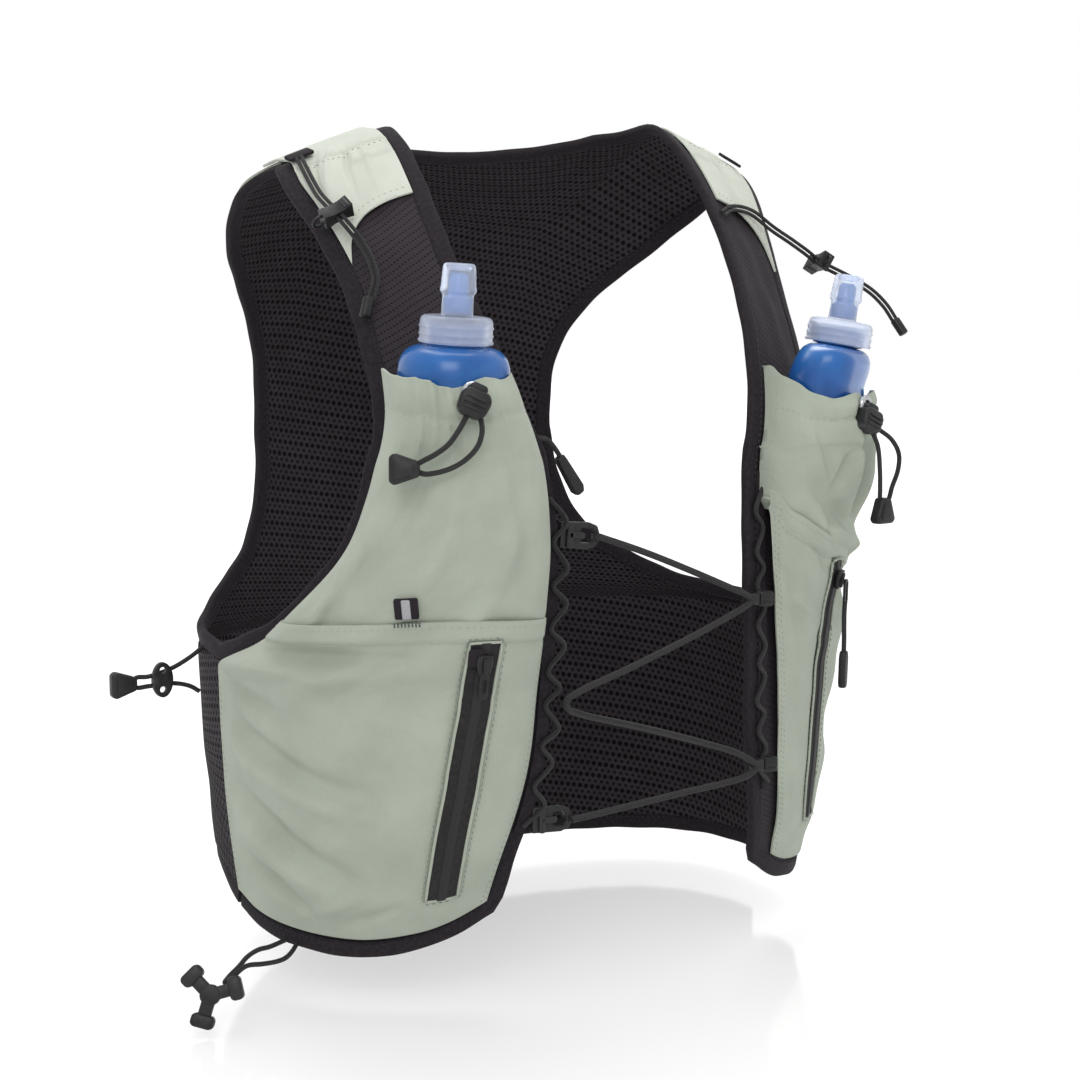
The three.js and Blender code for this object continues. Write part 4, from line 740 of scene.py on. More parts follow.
lower_grids = {}
lower_shares = (1 - np.cos(np.linspace(0, np.pi, 121))) / 2
for name in sides:
    part, share = np.meshgrid(np.linspace(0, 1, 140), lower_shares, indexing="ij")
    top = lower_edge(name, share)
    level = lower_bottom + (top - lower_bottom) * part
    share = share + (read(left_inset, level) * (1 - share) if name == "left" else 0)
    base, _, _, base_normal = frames(lambda a, l: front(sides[name], a, l), share, level)
    point = relaxed(lower_point(name, share, level), 10)
    open_part = np.clip(4 * share * (1 - share), 0, 1) ** 0.5 * smooth(part, 0, 0.12)
    below_top = (top - level) * body_drop
    hem = 0.9 * smooth(-below_top, -9.5, -8.2) - 0.8 * np.exp(-((below_top - 9.6) / 1.3) ** 2)
    folds = (2.7 if name == "right" else 1.7) * sum(crease(share, level, *fold)
                                                    for fold in lower_creases[name])
    loose = (1.1 * np.sin(share * 13 + level * 19 + 2) * np.sin(level * 17 - share * 8)
             + 0.35 * np.sin(share * 41) * (smooth(part, 0.0, 0.1) - smooth(part, 0.12, 0.4)))
    beside_zip = np.abs(share - read(zip_at[name], level)) * 160
    in_zip = smooth(level, -0.9, -0.87) * (1 - smooth(level, zip_top[name], zip_top[name] + 0.015))
    calm = 1 - 0.85 * in_zip * (1 - smooth(beside_zip, 10, 24))
    well = -1.0 * in_zip * (1 - smooth(beside_zip, 6.5, 8.5))
    point = point + base_normal * ((folds + loose) * open_part * calm + hem + well)[..., None]
    normal = grid_normals(point, base_normal)
    lower_grids[name] = (point, normal)
    cloth(f"lower_pocket_{name}_cloth", point, normal, pocket_wall, green, "stretched",
          f"front_panel_{name}_cloth", slot="sage_nylon", stands_for=[f"lower_pocket_{name}"])
    lines = [(point[-9, 3:-3], normal[-9, 3:-3]), (point[-3, 3:-3], normal[-3, 3:-3])]
    stitches(f"lower_pocket_{name}_hem_stitches", lines, pale_thread, slot="sage_nylon")
    lines = [(point[2:-2, k], normal[2:-2, k]) for k in (7, 11, 115)]
    stitches(f"lower_pocket_{name}_side_stitches", lines, stitch_finish, wide=0.4, slot="sage_nylon")

# Pocket zips: coated black coil zips set in a stitched window in each lower pocket, with a pale
# piping round the window and a dark stitch line outside it.
zip_width = 14
zip_tape = Finish("zip_tape", 0.6, Specular_IOR_Level=0.2)
where = zip_tape.flat()
zip_tape.colour(zip_tape.blend(zip_tape.level(zip_tape.noise(where, 3), 0.3, 0.7), (0.012, 0.011, 0.011, 1),
                               (0.024, 0.022, 0.022, 1)))
zip_tape.relief(zip_tape.waves(where, 0.8, 0.8), 0.12)
coil = Finish("zip_coil", 0.6, Specular_IOR_Level=0.2)
where = coil.flat()
# coil colour follows the relief wave, lighter on the crests and darker between the turns: painted highlight
# and shade
coil.colour(coil.blend(coil.level(coil.waves(where, 1.4, 400), -1, 1), (0.008, 0.007, 0.008, 1),
                       (0.032, 0.030, 0.031, 1)))
coil.relief(coil.waves(where, 1.4, 400), 0.4)
for name in sides:
    level = np.linspace(-0.868, zip_top[name], 90)
    point, sideways, up, normal = zip_frames(name, level)
    run = np.concatenate([[0], np.cumsum(np.linalg.norm(np.diff(point, axis=0), axis=-1))])
    aside = np.linspace(-zip_width / 2, zip_width / 2, 15)
    crown = 0.5 * (1 - (aside / 7) ** 2)
    outer = (point[:, None] + sideways[:, None] * aside[None, :, None]
             + normal[:, None] * (0.35 + crown)[None, :, None])
    cloth(f"pocket_zip_{name}_tape", outer, np.broadcast_to(normal[:, None], outer.shape), 1.2,
          zip_tape.material, slot="black_plastic", stands_for=[f"pocket_zip_{name}"])
    section = np.array([[2.3 * math.cos(t), 0.45 * math.sin(t)]
                        for t in np.linspace(0, 2 * math.pi, 12, endpoint=False)])
    swept(f"pocket_zip_{name}_coil", point + normal * 0.95, sideways, normal, section, run, False,
          coil.material, slot="black_plastic")
    half = zip_width / 2 + 0.7
    loop = np.concatenate([point - sideways * half, (point + sideways * half)[::-1]]) + np.concatenate(
        [normal, normal[::-1]]) * 0.4
    stand = np.concatenate([normal, normal[::-1]])
    line = edge_line(loop, stand, np.broadcast_to(point.mean(0), loop.shape), True)
    track = even_steps(line, 2.5, True)
    section = np.array([[0.75 * math.cos(t), 0.7 * math.sin(t)]
                        for t in np.linspace(0, 2 * math.pi, 8, endpoint=False)])
    swept(f"pocket_zip_{name}_piping", track["point"], track["across"], track["normal"], section,
          track["run"], True, green, slot="sage_nylon")
    seam = track["point"] + track["across"] * 2.0 + track["normal"] * 0.25
    stitches(f"pocket_zip_{name}_stitches", [(seam, track["normal"])], stitch_finish, slot="sage_nylon")

# Yokes: a green facing over the top of each strap, from behind the shoulder fold down to a
# curved hem that ends in a point at the armhole. Its paler green is painted light from above, a lit
# copy of the green nylon. A folded welt crosses it at the seam.
# lit copy of the green nylon, paler to paint the light falling on the strap tops
top_lit_green = green_cloth("top_lit_green_nylon", (0.43, 0.455, 0.395, 1), (0.53, 0.55, 0.485, 1))
ridge_level, yoke_reach = 0.997, 0.3
yoke_hem = [(0, 0.63), (0.3, 0.625), (0.6, 0.6), (0.85, 0.55), (1, 0.49)]
for name, side in sides.items():
    step, share = np.meshgrid(np.linspace(0, 1.35, 81), np.linspace(0, 1, 61), indexing="ij")
    low = read(yoke_hem, share)
    level = np.minimum(low + (ridge_level - low) * step, ridge_level)
    point, _, _, normal = frames(lambda a, l: front(side, a, l), share, level)
    over = np.clip(step - 1, 0, 1)
    fallen = 1 - over * yoke_reach
    turn = 62 + (read(wing_edge, fallen) - 62) * share
    rear = form(side, 1, turn, np.minimum(fallen, 0.999))
    rear_normal = grid_normals(rear, outward(rear))
    point = relaxed(np.where(step[..., None] > 1, rear, point), 3)
    normal = unit(relaxed(np.where(step[..., None] > 1, rear_normal, normal), 10))
    folds = (crease(share, level, (0.35, 0.92), (0.55, 0.66), 5, -1.0)
             + crease(share, level, (0.5, 0.93), (0.8, 0.7), 5, 0.9)
             + crease(share, level, (0.2, 0.9), (0.3, 0.68), 6, 0.8)
             + crease(share, level, (0.65, 0.95), (0.95, 0.62), 4, -0.8))
    fold_seam = -1.4 * np.exp(-((level - 0.86) / 0.012) ** 2)
    welt = (1.2 * smooth(level, 0.775, 0.79) * (1 - smooth(level, 0.845, 0.855))
            * (1 - smooth(share, 0.36, 0.42)))
    from_edge = smooth(np.minimum(share, 1 - share), 0, 0.06)
    stand = (front_wall + 2.0 + 2.4 * smooth(step, 0.97, 1.2)
             + (1.8 * folds + fold_seam + welt) * from_edge)
    point = point + normal * stand[..., None]
    normal = grid_normals(point, normal)
    cloth(f"shoulder_yoke_{name}_cloth", point, normal, 1.2, top_lit_green, "laid", f"front_panel_{name}_cloth",
          slot="sage_nylon", stands_for=[f"shoulder_yoke_{name}"])
    stitches(f"shoulder_yoke_{name}_hem_stitches", [(point[3, 2:-2], normal[3, 2:-2])], pale_thread,
             slot="sage_nylon")
    seam_level = [int(np.argmin(np.abs(level[:, k] - 0.835))) for k in range(2, 59)]
    seam = [np.array([part[r, k] for k, r in zip(range(2, 59), seam_level)]) for part in (point, normal)]
    stitches(f"shoulder_yoke_{name}_seam_stitches", [seam], stitch_finish, slot="sage_nylon")

# Soft flasks: blow-moulded translucent blue pouches that fill the bottle pockets, round at the
# shoulder under the cap.
flask_radius, neck_radius, cap_lift, dome_top = 26.2, 12.6, 17.6, 21.8
flask_at = [(-0.43, 0.35), (-0.42, 0.8), (-0.38, 1), (-0.28, 1), (0.155, 1)]
dome = [(4, 1.0), (9, 0.995), (13, 0.975), (16.4, 0.93), (18.8, 0.86), (20.4, 0.77), (21.4, 0.66),
        (dome_top, 0.5)]
flask_blue = Finish("flask_blue", 0.27, Transmission_Weight=0.15, IOR=1.4, Coat_Weight=0.2,
                    Coat_Roughness=0.15)
where = flask_blue.place()
cloud = flask_blue.noise(where, 24, 3)
flask_blue.colour(flask_blue.blend(flask_blue.level(cloud, 0.3, 0.7), (0.003, 0.062, 0.26, 1),
                                   (0.010, 0.13, 0.42, 1)))
flask_blue.relief(flask_blue.noise(where, 14, 2), 0.8, 0.4)
cap_seats = {}
for name, side in sides.items():
    lean = math.radians(-1 if name == "right" else 8)
    axis = unit(np.array([side * math.tan(lean), -math.tan(math.radians(5)), 1.0]))
    turns = np.linspace(0, 2 * np.pi, 48, endpoint=False)[:, None]
    rings = []
    for level in np.concatenate([np.linspace(-0.43, -0.38, 8)[:-1], np.linspace(-0.38, 0.155, 26)]):
        scale = float(read(flask_at, level))
        shift = 0.48 - 0.12 * float(smooth(-level, 0.2, 0.45))
        point, sideways, _, normal = frames(lambda a, l: front(side, a, l), shift, level)
        deep = min(flask_radius, float(fullness(name, min(level, 0.13))) / 2 - 1.6)
        wide = min(flask_radius + (flask_radius - deep) * 0.2, deep + 4)
        centre = point + normal * (front_wall + 1.6 + deep)
        slack = 1.8 * (1 - float(smooth(level, -0.1, 0.06)))
        if level > 0.105:
            continue
        rings.append(centre + sideways * (wide - slack) * scale * np.cos(turns)
                     + normal * (deep - slack) * scale * np.sin(turns))
    inside = min(flask_radius, float(fullness(name, 0.155)) / 2 - 1.6)
    cap_centre = point + normal * (front_wall + 1.6 + inside)
    outer = unit(np.cross(axis, sideways))
    outer = outer if outer @ normal > 0 else -outer
    sideways = unit(np.cross(axis, outer)) * (1 if np.cross(axis, outer) @ sideways > 0 else -1)
    for height, radius in dome:
        ring = sideways * min(wide, 25.6) * np.cos(turns) + outer * min(deep, 25.6) * np.sin(turns)
        rings.append(centre + (cap_centre - centre) * smooth(height, 0, 20) + axis * height + ring * radius)
    for height in (cap_lift + 4.6, cap_lift + 6, cap_lift + 12.6):
        round_at = sideways * np.cos(turns) + outer * np.sin(turns)
        rings.append(cap_centre + axis * height + round_at * neck_radius)
    faces = [[j * 48 + i, j * 48 + (i + 1) % 48, (j + 1) * 48 + (i + 1) % 48, (j + 1) * 48 + i]
             for j in range(len(rings) - 1) for i in range(48)]
    faces += [list(range(48)), [(len(rings) - 1) * 48 + i for i in range(48)][::-1]]
    make_piece(f"flask_{name}_body", np.concatenate(rings), faces, flask_blue.material, sharp=50,
               slot="blue_flask", stands_for=[f"flask_{name}"])
    cap_seats[name] = (cap_centre + axis * cap_lift, axis)

# Flask caps and bite valves: milky moulded screw caps with raised rings and a toothed lower
# edge, each with a soft valve that shows its blue core. Both turn with the cap.
milky = Finish("milky_plastic", 0.32, Transmission_Weight=0.78, IOR=1.2, Coat_Weight=0.25)
where = milky.place()
milky.colour(milky.blend(milky.level(milky.noise(where, 5), 0.3, 0.7), (0.70, 0.77, 0.93, 1),
                         (0.82, 0.87, 0.97, 1)))
milky.relief(milky.noise(where, 1.2, 3), 0.12, 0.5)
core_blue = Finish("valve_core", 0.3, Transmission_Weight=0.1)
core_blue.colour(core_blue.blend(core_blue.noise(core_blue.place(), 6), (0.07, 0.20, 0.50, 1),
                                 (0.14, 0.30, 0.62, 1)))
core_blue.relief(core_blue.noise(core_blue.place(), 1.2), 0.1)


def turned(name, profile, seat, axis, finish, count=64, wobble=None, **facts):
    aside = unit(np.cross(axis, np.array([0.0, 1.0, 0.0])))
    other = np.cross(axis, aside)
    turns = np.linspace(0, 2 * np.pi, count, endpoint=False)
    points = []
    for radius, height in profile:
        r = radius * np.ones(count) if wobble is None else radius + wobble(radius, height, turns)
        points.append(seat + axis * height + aside * (r * np.cos(turns))[:, None]
                      + other * (r * np.sin(turns))[:, None])
    faces = [[j * count + i, j * count + (i + 1) % count, (j + 1) * count + (i + 1) % count,
              (j + 1) * count + i]
             for j in range(len(profile) - 1) for i in range(count)]
    faces += [list(range(count)), [(len(profile) - 1) * count + i for i in range(count)][::-1]]
    return make_piece(name, np.concatenate(points), faces, finish, sharp=42, **facts)


def teeth(radius, height, turns):
    return np.where((height < 6.6) & (radius > 15), 0.2 * np.sign(np.sin(turns * 32)), 0)


for name in sides:
    seat, axis = cap_seats[name]
    body = f"cap_{name}"
    bore = neck_radius + 0.8
    profile = [(bore, 14.1), (bore, 5.2), (16.3, 5.2), (16.7, 5.7), (16.7, 6.5), (16.4, 6.8), (16.4, 8.4),
               (16.75, 8.8), (16.75, 9.4), (16.4, 9.8), (16.4, 11.8), (16.75, 12.2), (16.75, 12.8),
               (16.4, 13.2), (16.3, 15), (15.8, 16.4), (14.8, 17.1), (13.2, 17.3), (0.5, 17.3)]
    turned(f"flask_cap_{name}_shell", profile, seat, axis, milky.material, 96, teeth, body=body,
           slot="milky_cap", stands_for=[f"flask_cap_{name}"])
    base = seat + axis * 17.5
    valve = [(7.3, 0), (7.2, 0.6), (7.0, 7.6), (7.1, 9.0), (7.9, 10.2), (8.2, 10.8), (8.2, 11.4), (7.9, 13),
             (7.7, 17), (7.4, 21), (7.1, 22.2), (6.4, 22.9), (5.4, 23), (4.9, 22.2), (4.7, 20), (0.4, 19.6)]
    turned(f"bite_valve_{name}_sleeve", valve, base, axis, milky.material, 64, body=body, slot="milky_cap",
           stands_for=[f"bite_valve_{name}"])
    core = [(4.2, 0.7), (5.5, 1.1), (5.5, 7.6), (3.9, 9.2), (3.7, 17), (2.6, 18.6)]
    turned(f"bite_valve_{name}_core", core, base, axis, core_blue.material, 40, body=body, slot="blue_flask")

# Moulded fittings: dark grey nylon hooks, clips, cord locks, toggles, clamped ends and sliders.
# Each is a plate with a rounded edge, laid on the cloth or threaded on its cord.
grey_nylon = Finish("moulded_nylon", 0.4, Specular_IOR_Level=0.26)
where = grey_nylon.place()
# Lighter on sharp convex edges, from pointiness: painted edge highlight.
edge_highlight = grey_nylon.level(grey_nylon.node("NewGeometry", {}, "Pointiness"), 0.53, 0.66)
base_tone = grey_nylon.blend(grey_nylon.level(grey_nylon.noise(where, 4), 0.3, 0.7), (0.008, 0.008, 0.009, 1),
                             (0.016, 0.016, 0.017, 1))
grey_nylon.colour(grey_nylon.blend(edge_highlight, base_tone, (0.045, 0.045, 0.048, 1)))
grey_nylon.rough(grey_nylon.level(grey_nylon.noise(where, 1.6), 0.3, 0.7, 0.34, 0.52))
grey_nylon.relief(grey_nylon.noise(where, 0.5, 3), 0.08, 0.5)


def soft_rectangle(width, height, cut):
    x, y = width / 2, height / 2
    return [(-x + cut, -y), (x - cut, -y), (x, -y + cut), (x, y - cut), (x - cut, y), (-x + cut, y),
            (-x, y - cut), (-x, -y + cut)]


def oval(x, y, rx, ry, count):
    return [(x + rx * math.cos(2 * math.pi * i / count), y + ry * math.sin(2 * math.pi * i / count))
            for i in range(count)]


def frame_at(point, facing, along):
    normal = unit(np.array(facing, float))
    sideways = np.array(along, float)
    sideways = unit(sideways - normal * (sideways @ normal))
    return np.array(point, float), sideways, np.cross(normal, sideways), normal


def shifted(place, x=0, y=0, z=0):
    point, sideways, up, normal = place
    return point + sideways * x + up * y + normal * z, sideways, up, normal


def moulded(name, outline, thickness, place, finish, holes=(), edge=0.8, body="vest", crown=0.0, **facts):
    point, sideways, up, normal = place
    work = bmesh.new()
    rings = [[work.verts.new((x, y, 0)) for x, y in loop] for loop in [outline, *holes]]
    edges = [work.edges.new((ring[i], ring[(i + 1) % len(ring)])) for ring in rings for i in range(len(ring))]
    if len(rings) == 1:
        work.faces.new(rings[0])
    else:
        bmesh.ops.triangle_fill(work, use_beauty=True, use_dissolve=True, edges=edges)
    made = bmesh.ops.extrude_face_region(work, geom=list(work.faces))
    bmesh.ops.translate(work, verts=[v for v in made["geom"] if isinstance(v, bmesh.types.BMVert)],
                        vec=(0, 0, thickness))
    bmesh.ops.recalc_face_normals(work, faces=work.faces)
    rim = [e for e in work.edges if len(e.link_faces) == 2 and e.calc_face_angle(0) > 0.5]
    bmesh.ops.bevel(work, geom=rim, offset=edge, segments=3, affect="EDGES", profile=0.5, clamp_overlap=True)
    bmesh.ops.triangulate(work, faces=[f for f in work.faces if len(f.verts) > 4])
    for v in work.verts:
        reach = (v.co.x ** 2 + v.co.y ** 2) / max(x * x + y * y for x, y in outline)
        v.co.z += crown * (1 - reach) * (v.co.z / thickness)
        spot = point + sideways * v.co.x + up * v.co.y + normal * v.co.z
        v.co = Vector(spot * MM)
    bmesh.ops.recalc_face_normals(work, faces=work.faces)
    mesh = bpy.data.meshes.new(name)
    work.to_mesh(mesh)
    work.free()
    mesh.materials.append(finish)
    mesh.shade_smooth()
    mesh.set_sharp_from_angle(angle=math.radians(40))
    piece = bpy.data.objects.new(name, mesh)
    bpy.context.collection.objects.link(piece)
    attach(piece, body)
    if facts.get("stands_for"):
        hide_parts(*facts["stands_for"])
    return piece


nylon = grey_nylon.material
lock_frames = {
    "right": frame_at((-121.4, -165.1, -129.6), (-0.43, -0.89, 0.14), (0.9, -0.43, 0)),
    "left": frame_at((113.2, -153.0, -143.0), (0.11, -0.99, 0.06), (1, 0.1, 0)),
}
for name, place in lock_frames.items():
    place = shifted(place, x=0.5, y=-3)
    tilt = math.radians(-24)
    place = (place[0], place[1] * math.cos(tilt) + place[2] * math.sin(tilt),
             place[2] * math.cos(tilt) - place[1] * math.sin(tilt), place[3])
    stand = 2.9 if name == "right" else 1.2
    barrel = [(-6.6, -4.6), (-4.4, -6.8), (4.0, -6.8), (6.6, -4.4), (7.2, 2.2), (5.0, 5.4), (-5.0, 5.4),
              (-7.2, 2.2)]
    body = moulded(f"cord_lock_{name}_barrel", barrel, 8, shifted(place, z=stand), nylon, edge=1.7, crown=0.8,
                   stands_for=[f"cord_lock_{name}"])
    button = moulded(f"cord_lock_{name}_button", soft_rectangle(8, 4, 1.2), 5,
                     shifted(place, x=-0.5, y=6.2, z=stand + 1.1), nylon, edge=1.0)
    ridges = [moulded(f"cord_lock_{name}_ridge_{k}", soft_rectangle(10.5 - abs(k) * 1.5, 1.0, 0.4), 1.3,
                      shifted(place, y=-0.8 + 2.3 * k, z=stand + 8.0), nylon, edge=0.35) for k in (-1, 0, 1)]

end_outline = [(6.2, -3.2), (6.2, 3.2), (-4.8, 7), (-7, 5.4), (-7, -5.4), (-4.8, -7)]
end_frames = {
    "pocket_cord_end_right": frame_at((-149.7, -156.6, -160.2), (-0.6, -0.8, 0.05), (0.8, -0.6, 0)),
    "pocket_cord_end_left": frame_at((123.3, -160.0, -191.7), (0.11, -0.99, 0), (0, 0, 1)),
    "side_cord_end": frame_at((-212.1, 26, -277.4), (0, -1, 0), (1, 0, 0)),
}
for name, place in end_frames.items():
    body = moulded(f"{name}_clamp", end_outline, 6, shifted(place, z=-3), nylon, edge=1.3, crown=0.5,
                   stands_for=[name])
    face = moulded(f"{name}_plate", [(x * 0.62, y * 0.62) for x, y in end_outline], 0.8,
                   shifted(place, z=3.1), nylon, edge=0.3)

keeper_place = frame_at((-193.1, 26, -276.4), (0, -1, 0), (1, 0, 0))
moulded("side_keeper_plate", oval(0, 0, 5.5, 9, 28), 3,
                                   shifted(keeper_place, z=1.5), nylon,
                                   [oval(0, 5, 1.7, 1.7, 12), oval(0, -5, 1.7, 1.7, 12)], 0.6,
                                   stands_for=["side_keeper"])

hook_place = frame_at((-204.2, -59.5, -413.4), (-0.5, -0.8, 0.3), (0.84, -0.53, 0))
hook_parts = [moulded("hem_hook_hub", oval(0, 0, 5, 5, 16), 5, shifted(hook_place, z=-2.5), nylon, edge=1.0,
                      stands_for=["hem_hook"])]
for k in range(3):
    turn = math.radians(120 * k + 15)
    point, sideways, up, normal = hook_place
    arm_along = sideways * math.cos(turn) + up * math.sin(turn)
    arm = (point, arm_along, np.cross(normal, arm_along), normal)
    hook_parts.append(moulded(f"hem_hook_arm_{k}", soft_rectangle(12, 6.2, 1), 4.2,
                              shifted(arm, x=6.5, z=-2.1), nylon, edge=0.9))
    hook_parts.append(moulded(f"hem_hook_pad_{k}", soft_rectangle(6.4, 11.4, 1.4), 6,
                              shifted(arm, x=12.4, z=-3), nylon, edge=1.5, crown=0.5))

grip_place = frame_at((-42.3, -119.5, -169.4), (0, -1, 0), (0.56, 0, -0.83))
grip_outline = [(-11, -2.2), (-8, -2.6), (8, -3.4), (11, -2), (11, 2), (8, 3.4), (-8, 2.6), (-11, 2.2)]
moulded("inner_pull_grip_body", grip_outline, 4.2, grip_place, nylon, edge=1.1,
                                       stands_for=["inner_pull_grip"])

hook_frames = {
    "upper_hook": frame_at((-45.3, -131.8, -197), (0, -1, 0), (1, 0, -0.1)),
    "lower_hook": frame_at((-53.3, -120.2, -335.8), (0, -1, 0.1), (1, 0, -0.05)),
}
for name, place in hook_frames.items():
    outline = [(-11, -6), (5, -6.4), (9.6, -5), (11, -1.8), (11, 1.8), (9.6, 5), (5, 6.4), (-11, 6)]
    eye_hole = [(0.5, -3.4), (6.4, -3.4), (8.2, -1.6), (8.2, 1.6), (6.4, 3.4), (0.5, 3.4)]
    body = moulded(f"{name}_frame", outline, 4, place, nylon, [eye_hole], 0.9, stands_for=[name])
    moulded(f"{name}_bar", soft_rectangle(3.6, 12.4, 0.8), 3.0, shifted(place, x=-6.4, z=2.4), nylon,
            edge=0.9)
    moulded(f"{name}_tongue", soft_rectangle(9, 3.2, 0.8), 1.6, shifted(place, x=-2.5, z=3.8), nylon,
            edge=0.5)
clip_frames = {
    "upper_clip": frame_at((59.8, -140.7, -234.2), (-0.25, -1, 0), (1, -0.25, 0)),
    "lower_clip": frame_at((71, -132.5, -321.6), (-0.25, -1, 0), (1, -0.25, 0)),
}
for name, place in clip_frames.items():
    moulded(f"{name}_block", soft_rectangle(7.2, 7.6, 0.8), 5, shifted(place, x=1.5, z=0.4), nylon, edge=0.9,
            stands_for=[name])
    moulded(f"{name}_sleeve", [(-9.5, -2.3), (-2, -3.3), (-2, 3.3), (-9.5, 2.3)], 4.6, shifted(place, z=0.6),
            nylon, edge=1.2)
    for k in (-1, 1):
        moulded(f"{name}_rib_{k + 1}", soft_rectangle(5.6, 1.4, 0.4), 0.9,
                shifted(place, x=1.5, y=2.2 * k, z=5.1), nylon, edge=0.3)


def thread_frame(centre, direction, up):
    along = unit(np.array(direction, float))
    top = np.array(up, float)
    top = unit(top - along * (top @ along))
    return np.array(centre, float), np.cross(top, along), top, along


shoulder_fittings = {
    "right": {"toggle": ((-131.5, -56, -45.6), (1.7, -6.5, -5.2), (-0.45, -0.6, 0.65)),
              "end": ((-130.2, -84.2, -90.4), (-3.3, -2.1, -9), (0, -1, 0))},
    "left": {"toggle": ((163.5, -61.5, -63.5), (7, -2, -4.4), (0.3, 0, 1)),
             "end": ((197.6, -90.8, -99), (2.4, -4.3, -7), (0, -1, 0))},
}
for name, parts in shoulder_fittings.items():
    place, size = thread_frame(*parts["toggle"]), 1.2 if name == "left" else 1.0
    waist = [(-7.6, -4.2), (-2.8, -2.9), (2.8, -2.9), (7.6, -4.2), (7.6, 4.2), (2.8, 2.9), (-2.8, 2.9),
             (-7.6, 4.2)]
    body = moulded(f"shoulder_toggle_{name}_body", [(x * size, y * size) for x, y in waist], 7,
                   shifted(place, z=-3.5), nylon,
                   [oval(0, 0, 1.9, 1.9, 12)], 1.0, stands_for=[f"shoulder_toggle_{name}"])
    ring = moulded(f"shoulder_toggle_{name}_ring", oval(0, 0, 3.8, 3.4, 18), 1.4,
                   shifted(place, x=-9.6, z=-0.7), nylon, [oval(0, 0, 2.6, 2.2, 14)], 0.4)
    collar = moulded(f"shoulder_toggle_{name}_collar", soft_rectangle(3.4, 8.6, 0.9), 6,
                     shifted(place, x=5.2, z=-3), nylon, edge=0.8)
    place = thread_frame(*parts["end"])
    barrel = moulded(f"shoulder_cord_end_{name}_barrel", soft_rectangle(5.4, 5, 1.4), 10,
                     shifted(place, z=-5), nylon, edge=0.9, stands_for=[f"shoulder_cord_end_{name}"])

# Zip sliders: a small moulded slider near the top of each zip. The right one has a plain pull tab,
# the left one a bent wire with a short cord and a moulded grip hanging from it. A tape tab covers
# the top of the right zip.
for name, level in (("right", -0.37), ("left", -0.295)):
    point, sideways, up, normal = [part.reshape(3) for part in zip_frames(name, np.array(level))]
    turn = 1 if np.cross(normal, sideways)[2] > 0 else -1
    place = (point, sideways * turn, np.cross(normal, sideways) * turn, normal)
    moulded(f"zip_slider_{name}_body", [(-2.6, -5), (2.6, -5), (4, 1), (3.6, 5), (-3.6, 5), (-4, 1)], 2.4,
            shifted(place, z=1.7), nylon, edge=0.8, stands_for=[f"zip_slider_{name}"])
    moulded(f"zip_slider_{name}_bridge", soft_rectangle(2.2, 8, 0.6), 1.8, shifted(place, z=3.6), nylon,
            edge=0.6)
    if name == "right":
        moulded("zip_slider_right_tab", soft_rectangle(4.4, 13, 1.4), 1.2, shifted(place, y=-9.5, z=3.4),
                nylon, [soft_rectangle(2, 6.4, 0.6)], 0.4)
level_sideways, level_outward = np.array([-normal[1], normal[0], 0]), normal * np.array([1, 1, 0])
hang = (shifted(place, z=6)[0], unit(level_sideways), np.array([0.03, 0, 1.0]), unit(level_outward))
moulded("zip_pull_left_wire", soft_rectangle(5, 13, 1.5), 1.3, shifted(hang, y=-5.5), nylon,
        [soft_rectangle(2.4, 10.4, 1.0)], 0.5)
moulded("zip_pull_left_grip", [(-1.8, -10), (1.8, -10), (2.9, -7), (3.1, 6), (1.9, 10), (-1.9, 10), (-3.1, 6),
                               (-2.9, -7)], 4,
        shifted(hang, x=1.4, y=-47, z=-1.4), nylon, edge=1.2)

point, sideways, up, normal = [part.reshape(3) for part in zip_frames("right", np.array(-0.345))]
garage = (point, sideways, np.cross(normal, sideways), normal)
moulded("pocket_zip_right_garage", soft_rectangle(7.5, 8.5, 1.2), 1.6,
        shifted(garage, x=-4.6 if sideways[0] > 0 else 4.6, y=3, z=1.4),
        tape.material, edge=0.5, slot="black_tape")

# Shoulder tabs and the reflective loop: flat tape ends bar-tacked on the yokes, and a small dark
# loop with a glass-bead stripe on the right bottle pocket.
for name, side in sides.items():
    tab_at = frames(lambda a, l: front(side, a, l), np.array(0.72), np.array(0.93))
    point, sideways, up, normal = [part.reshape(3) for part in tab_at]
    place = (point, sideways, np.cross(normal, sideways), normal)
    aside = 1 if sideways[0] * side > 0 else -1
    moulded(f"shoulder_tab_{name}_tape", soft_rectangle(14, 8, 1.0), 1.6,
            shifted(place, x=7 * aside, z=front_wall + 3.4), tape.material, edge=0.5,
            slot="black_tape", stands_for=[f"shoulder_tab_{name}"])

beads = Finish("reflective_beads", 0.3, Metallic=0.35, Specular_IOR_Level=0.6)
where = beads.place()
beads.colour(beads.blend(beads.holes(where, 0.6, 0.2), (0.5, 0.5, 0.52, 1), (0.26, 0.26, 0.27, 1)))
beads.relief(beads.holes(where, 0.6, 0.2), 0.08)
point, normal = bottle_grids["right"]
row, column_at = int(np.argmin(np.abs(bottle_rows + 0.268))), int(np.argmin(np.abs(bottle_shares - 0.528)))
facing = unit(normal[row - 5:row + 6, column_at - 3:column_at + 4].mean((0, 1)))
loop_place = frame_at(point[row, column_at], facing, point[row, column_at + 3] - point[row, column_at - 3])
if loop_place[2][2] > 0:
    loop_place = (loop_place[0], -loop_place[1], -loop_place[2], loop_place[3])
moulded("reflective_loop_tape", soft_rectangle(10.8, 9.6, 0.5), 2.0, shifted(loop_place, z=0.5),
        tape.material, edge=0.7, slot="black_tape", stands_for=["reflective_loop"])
moulded("reflective_loop_stripe", soft_rectangle(4.0, 9.3, 0.4), 0.6, shifted(loop_place, z=2.3),
        beads.material, edge=0.25, slot="reflective_tape")

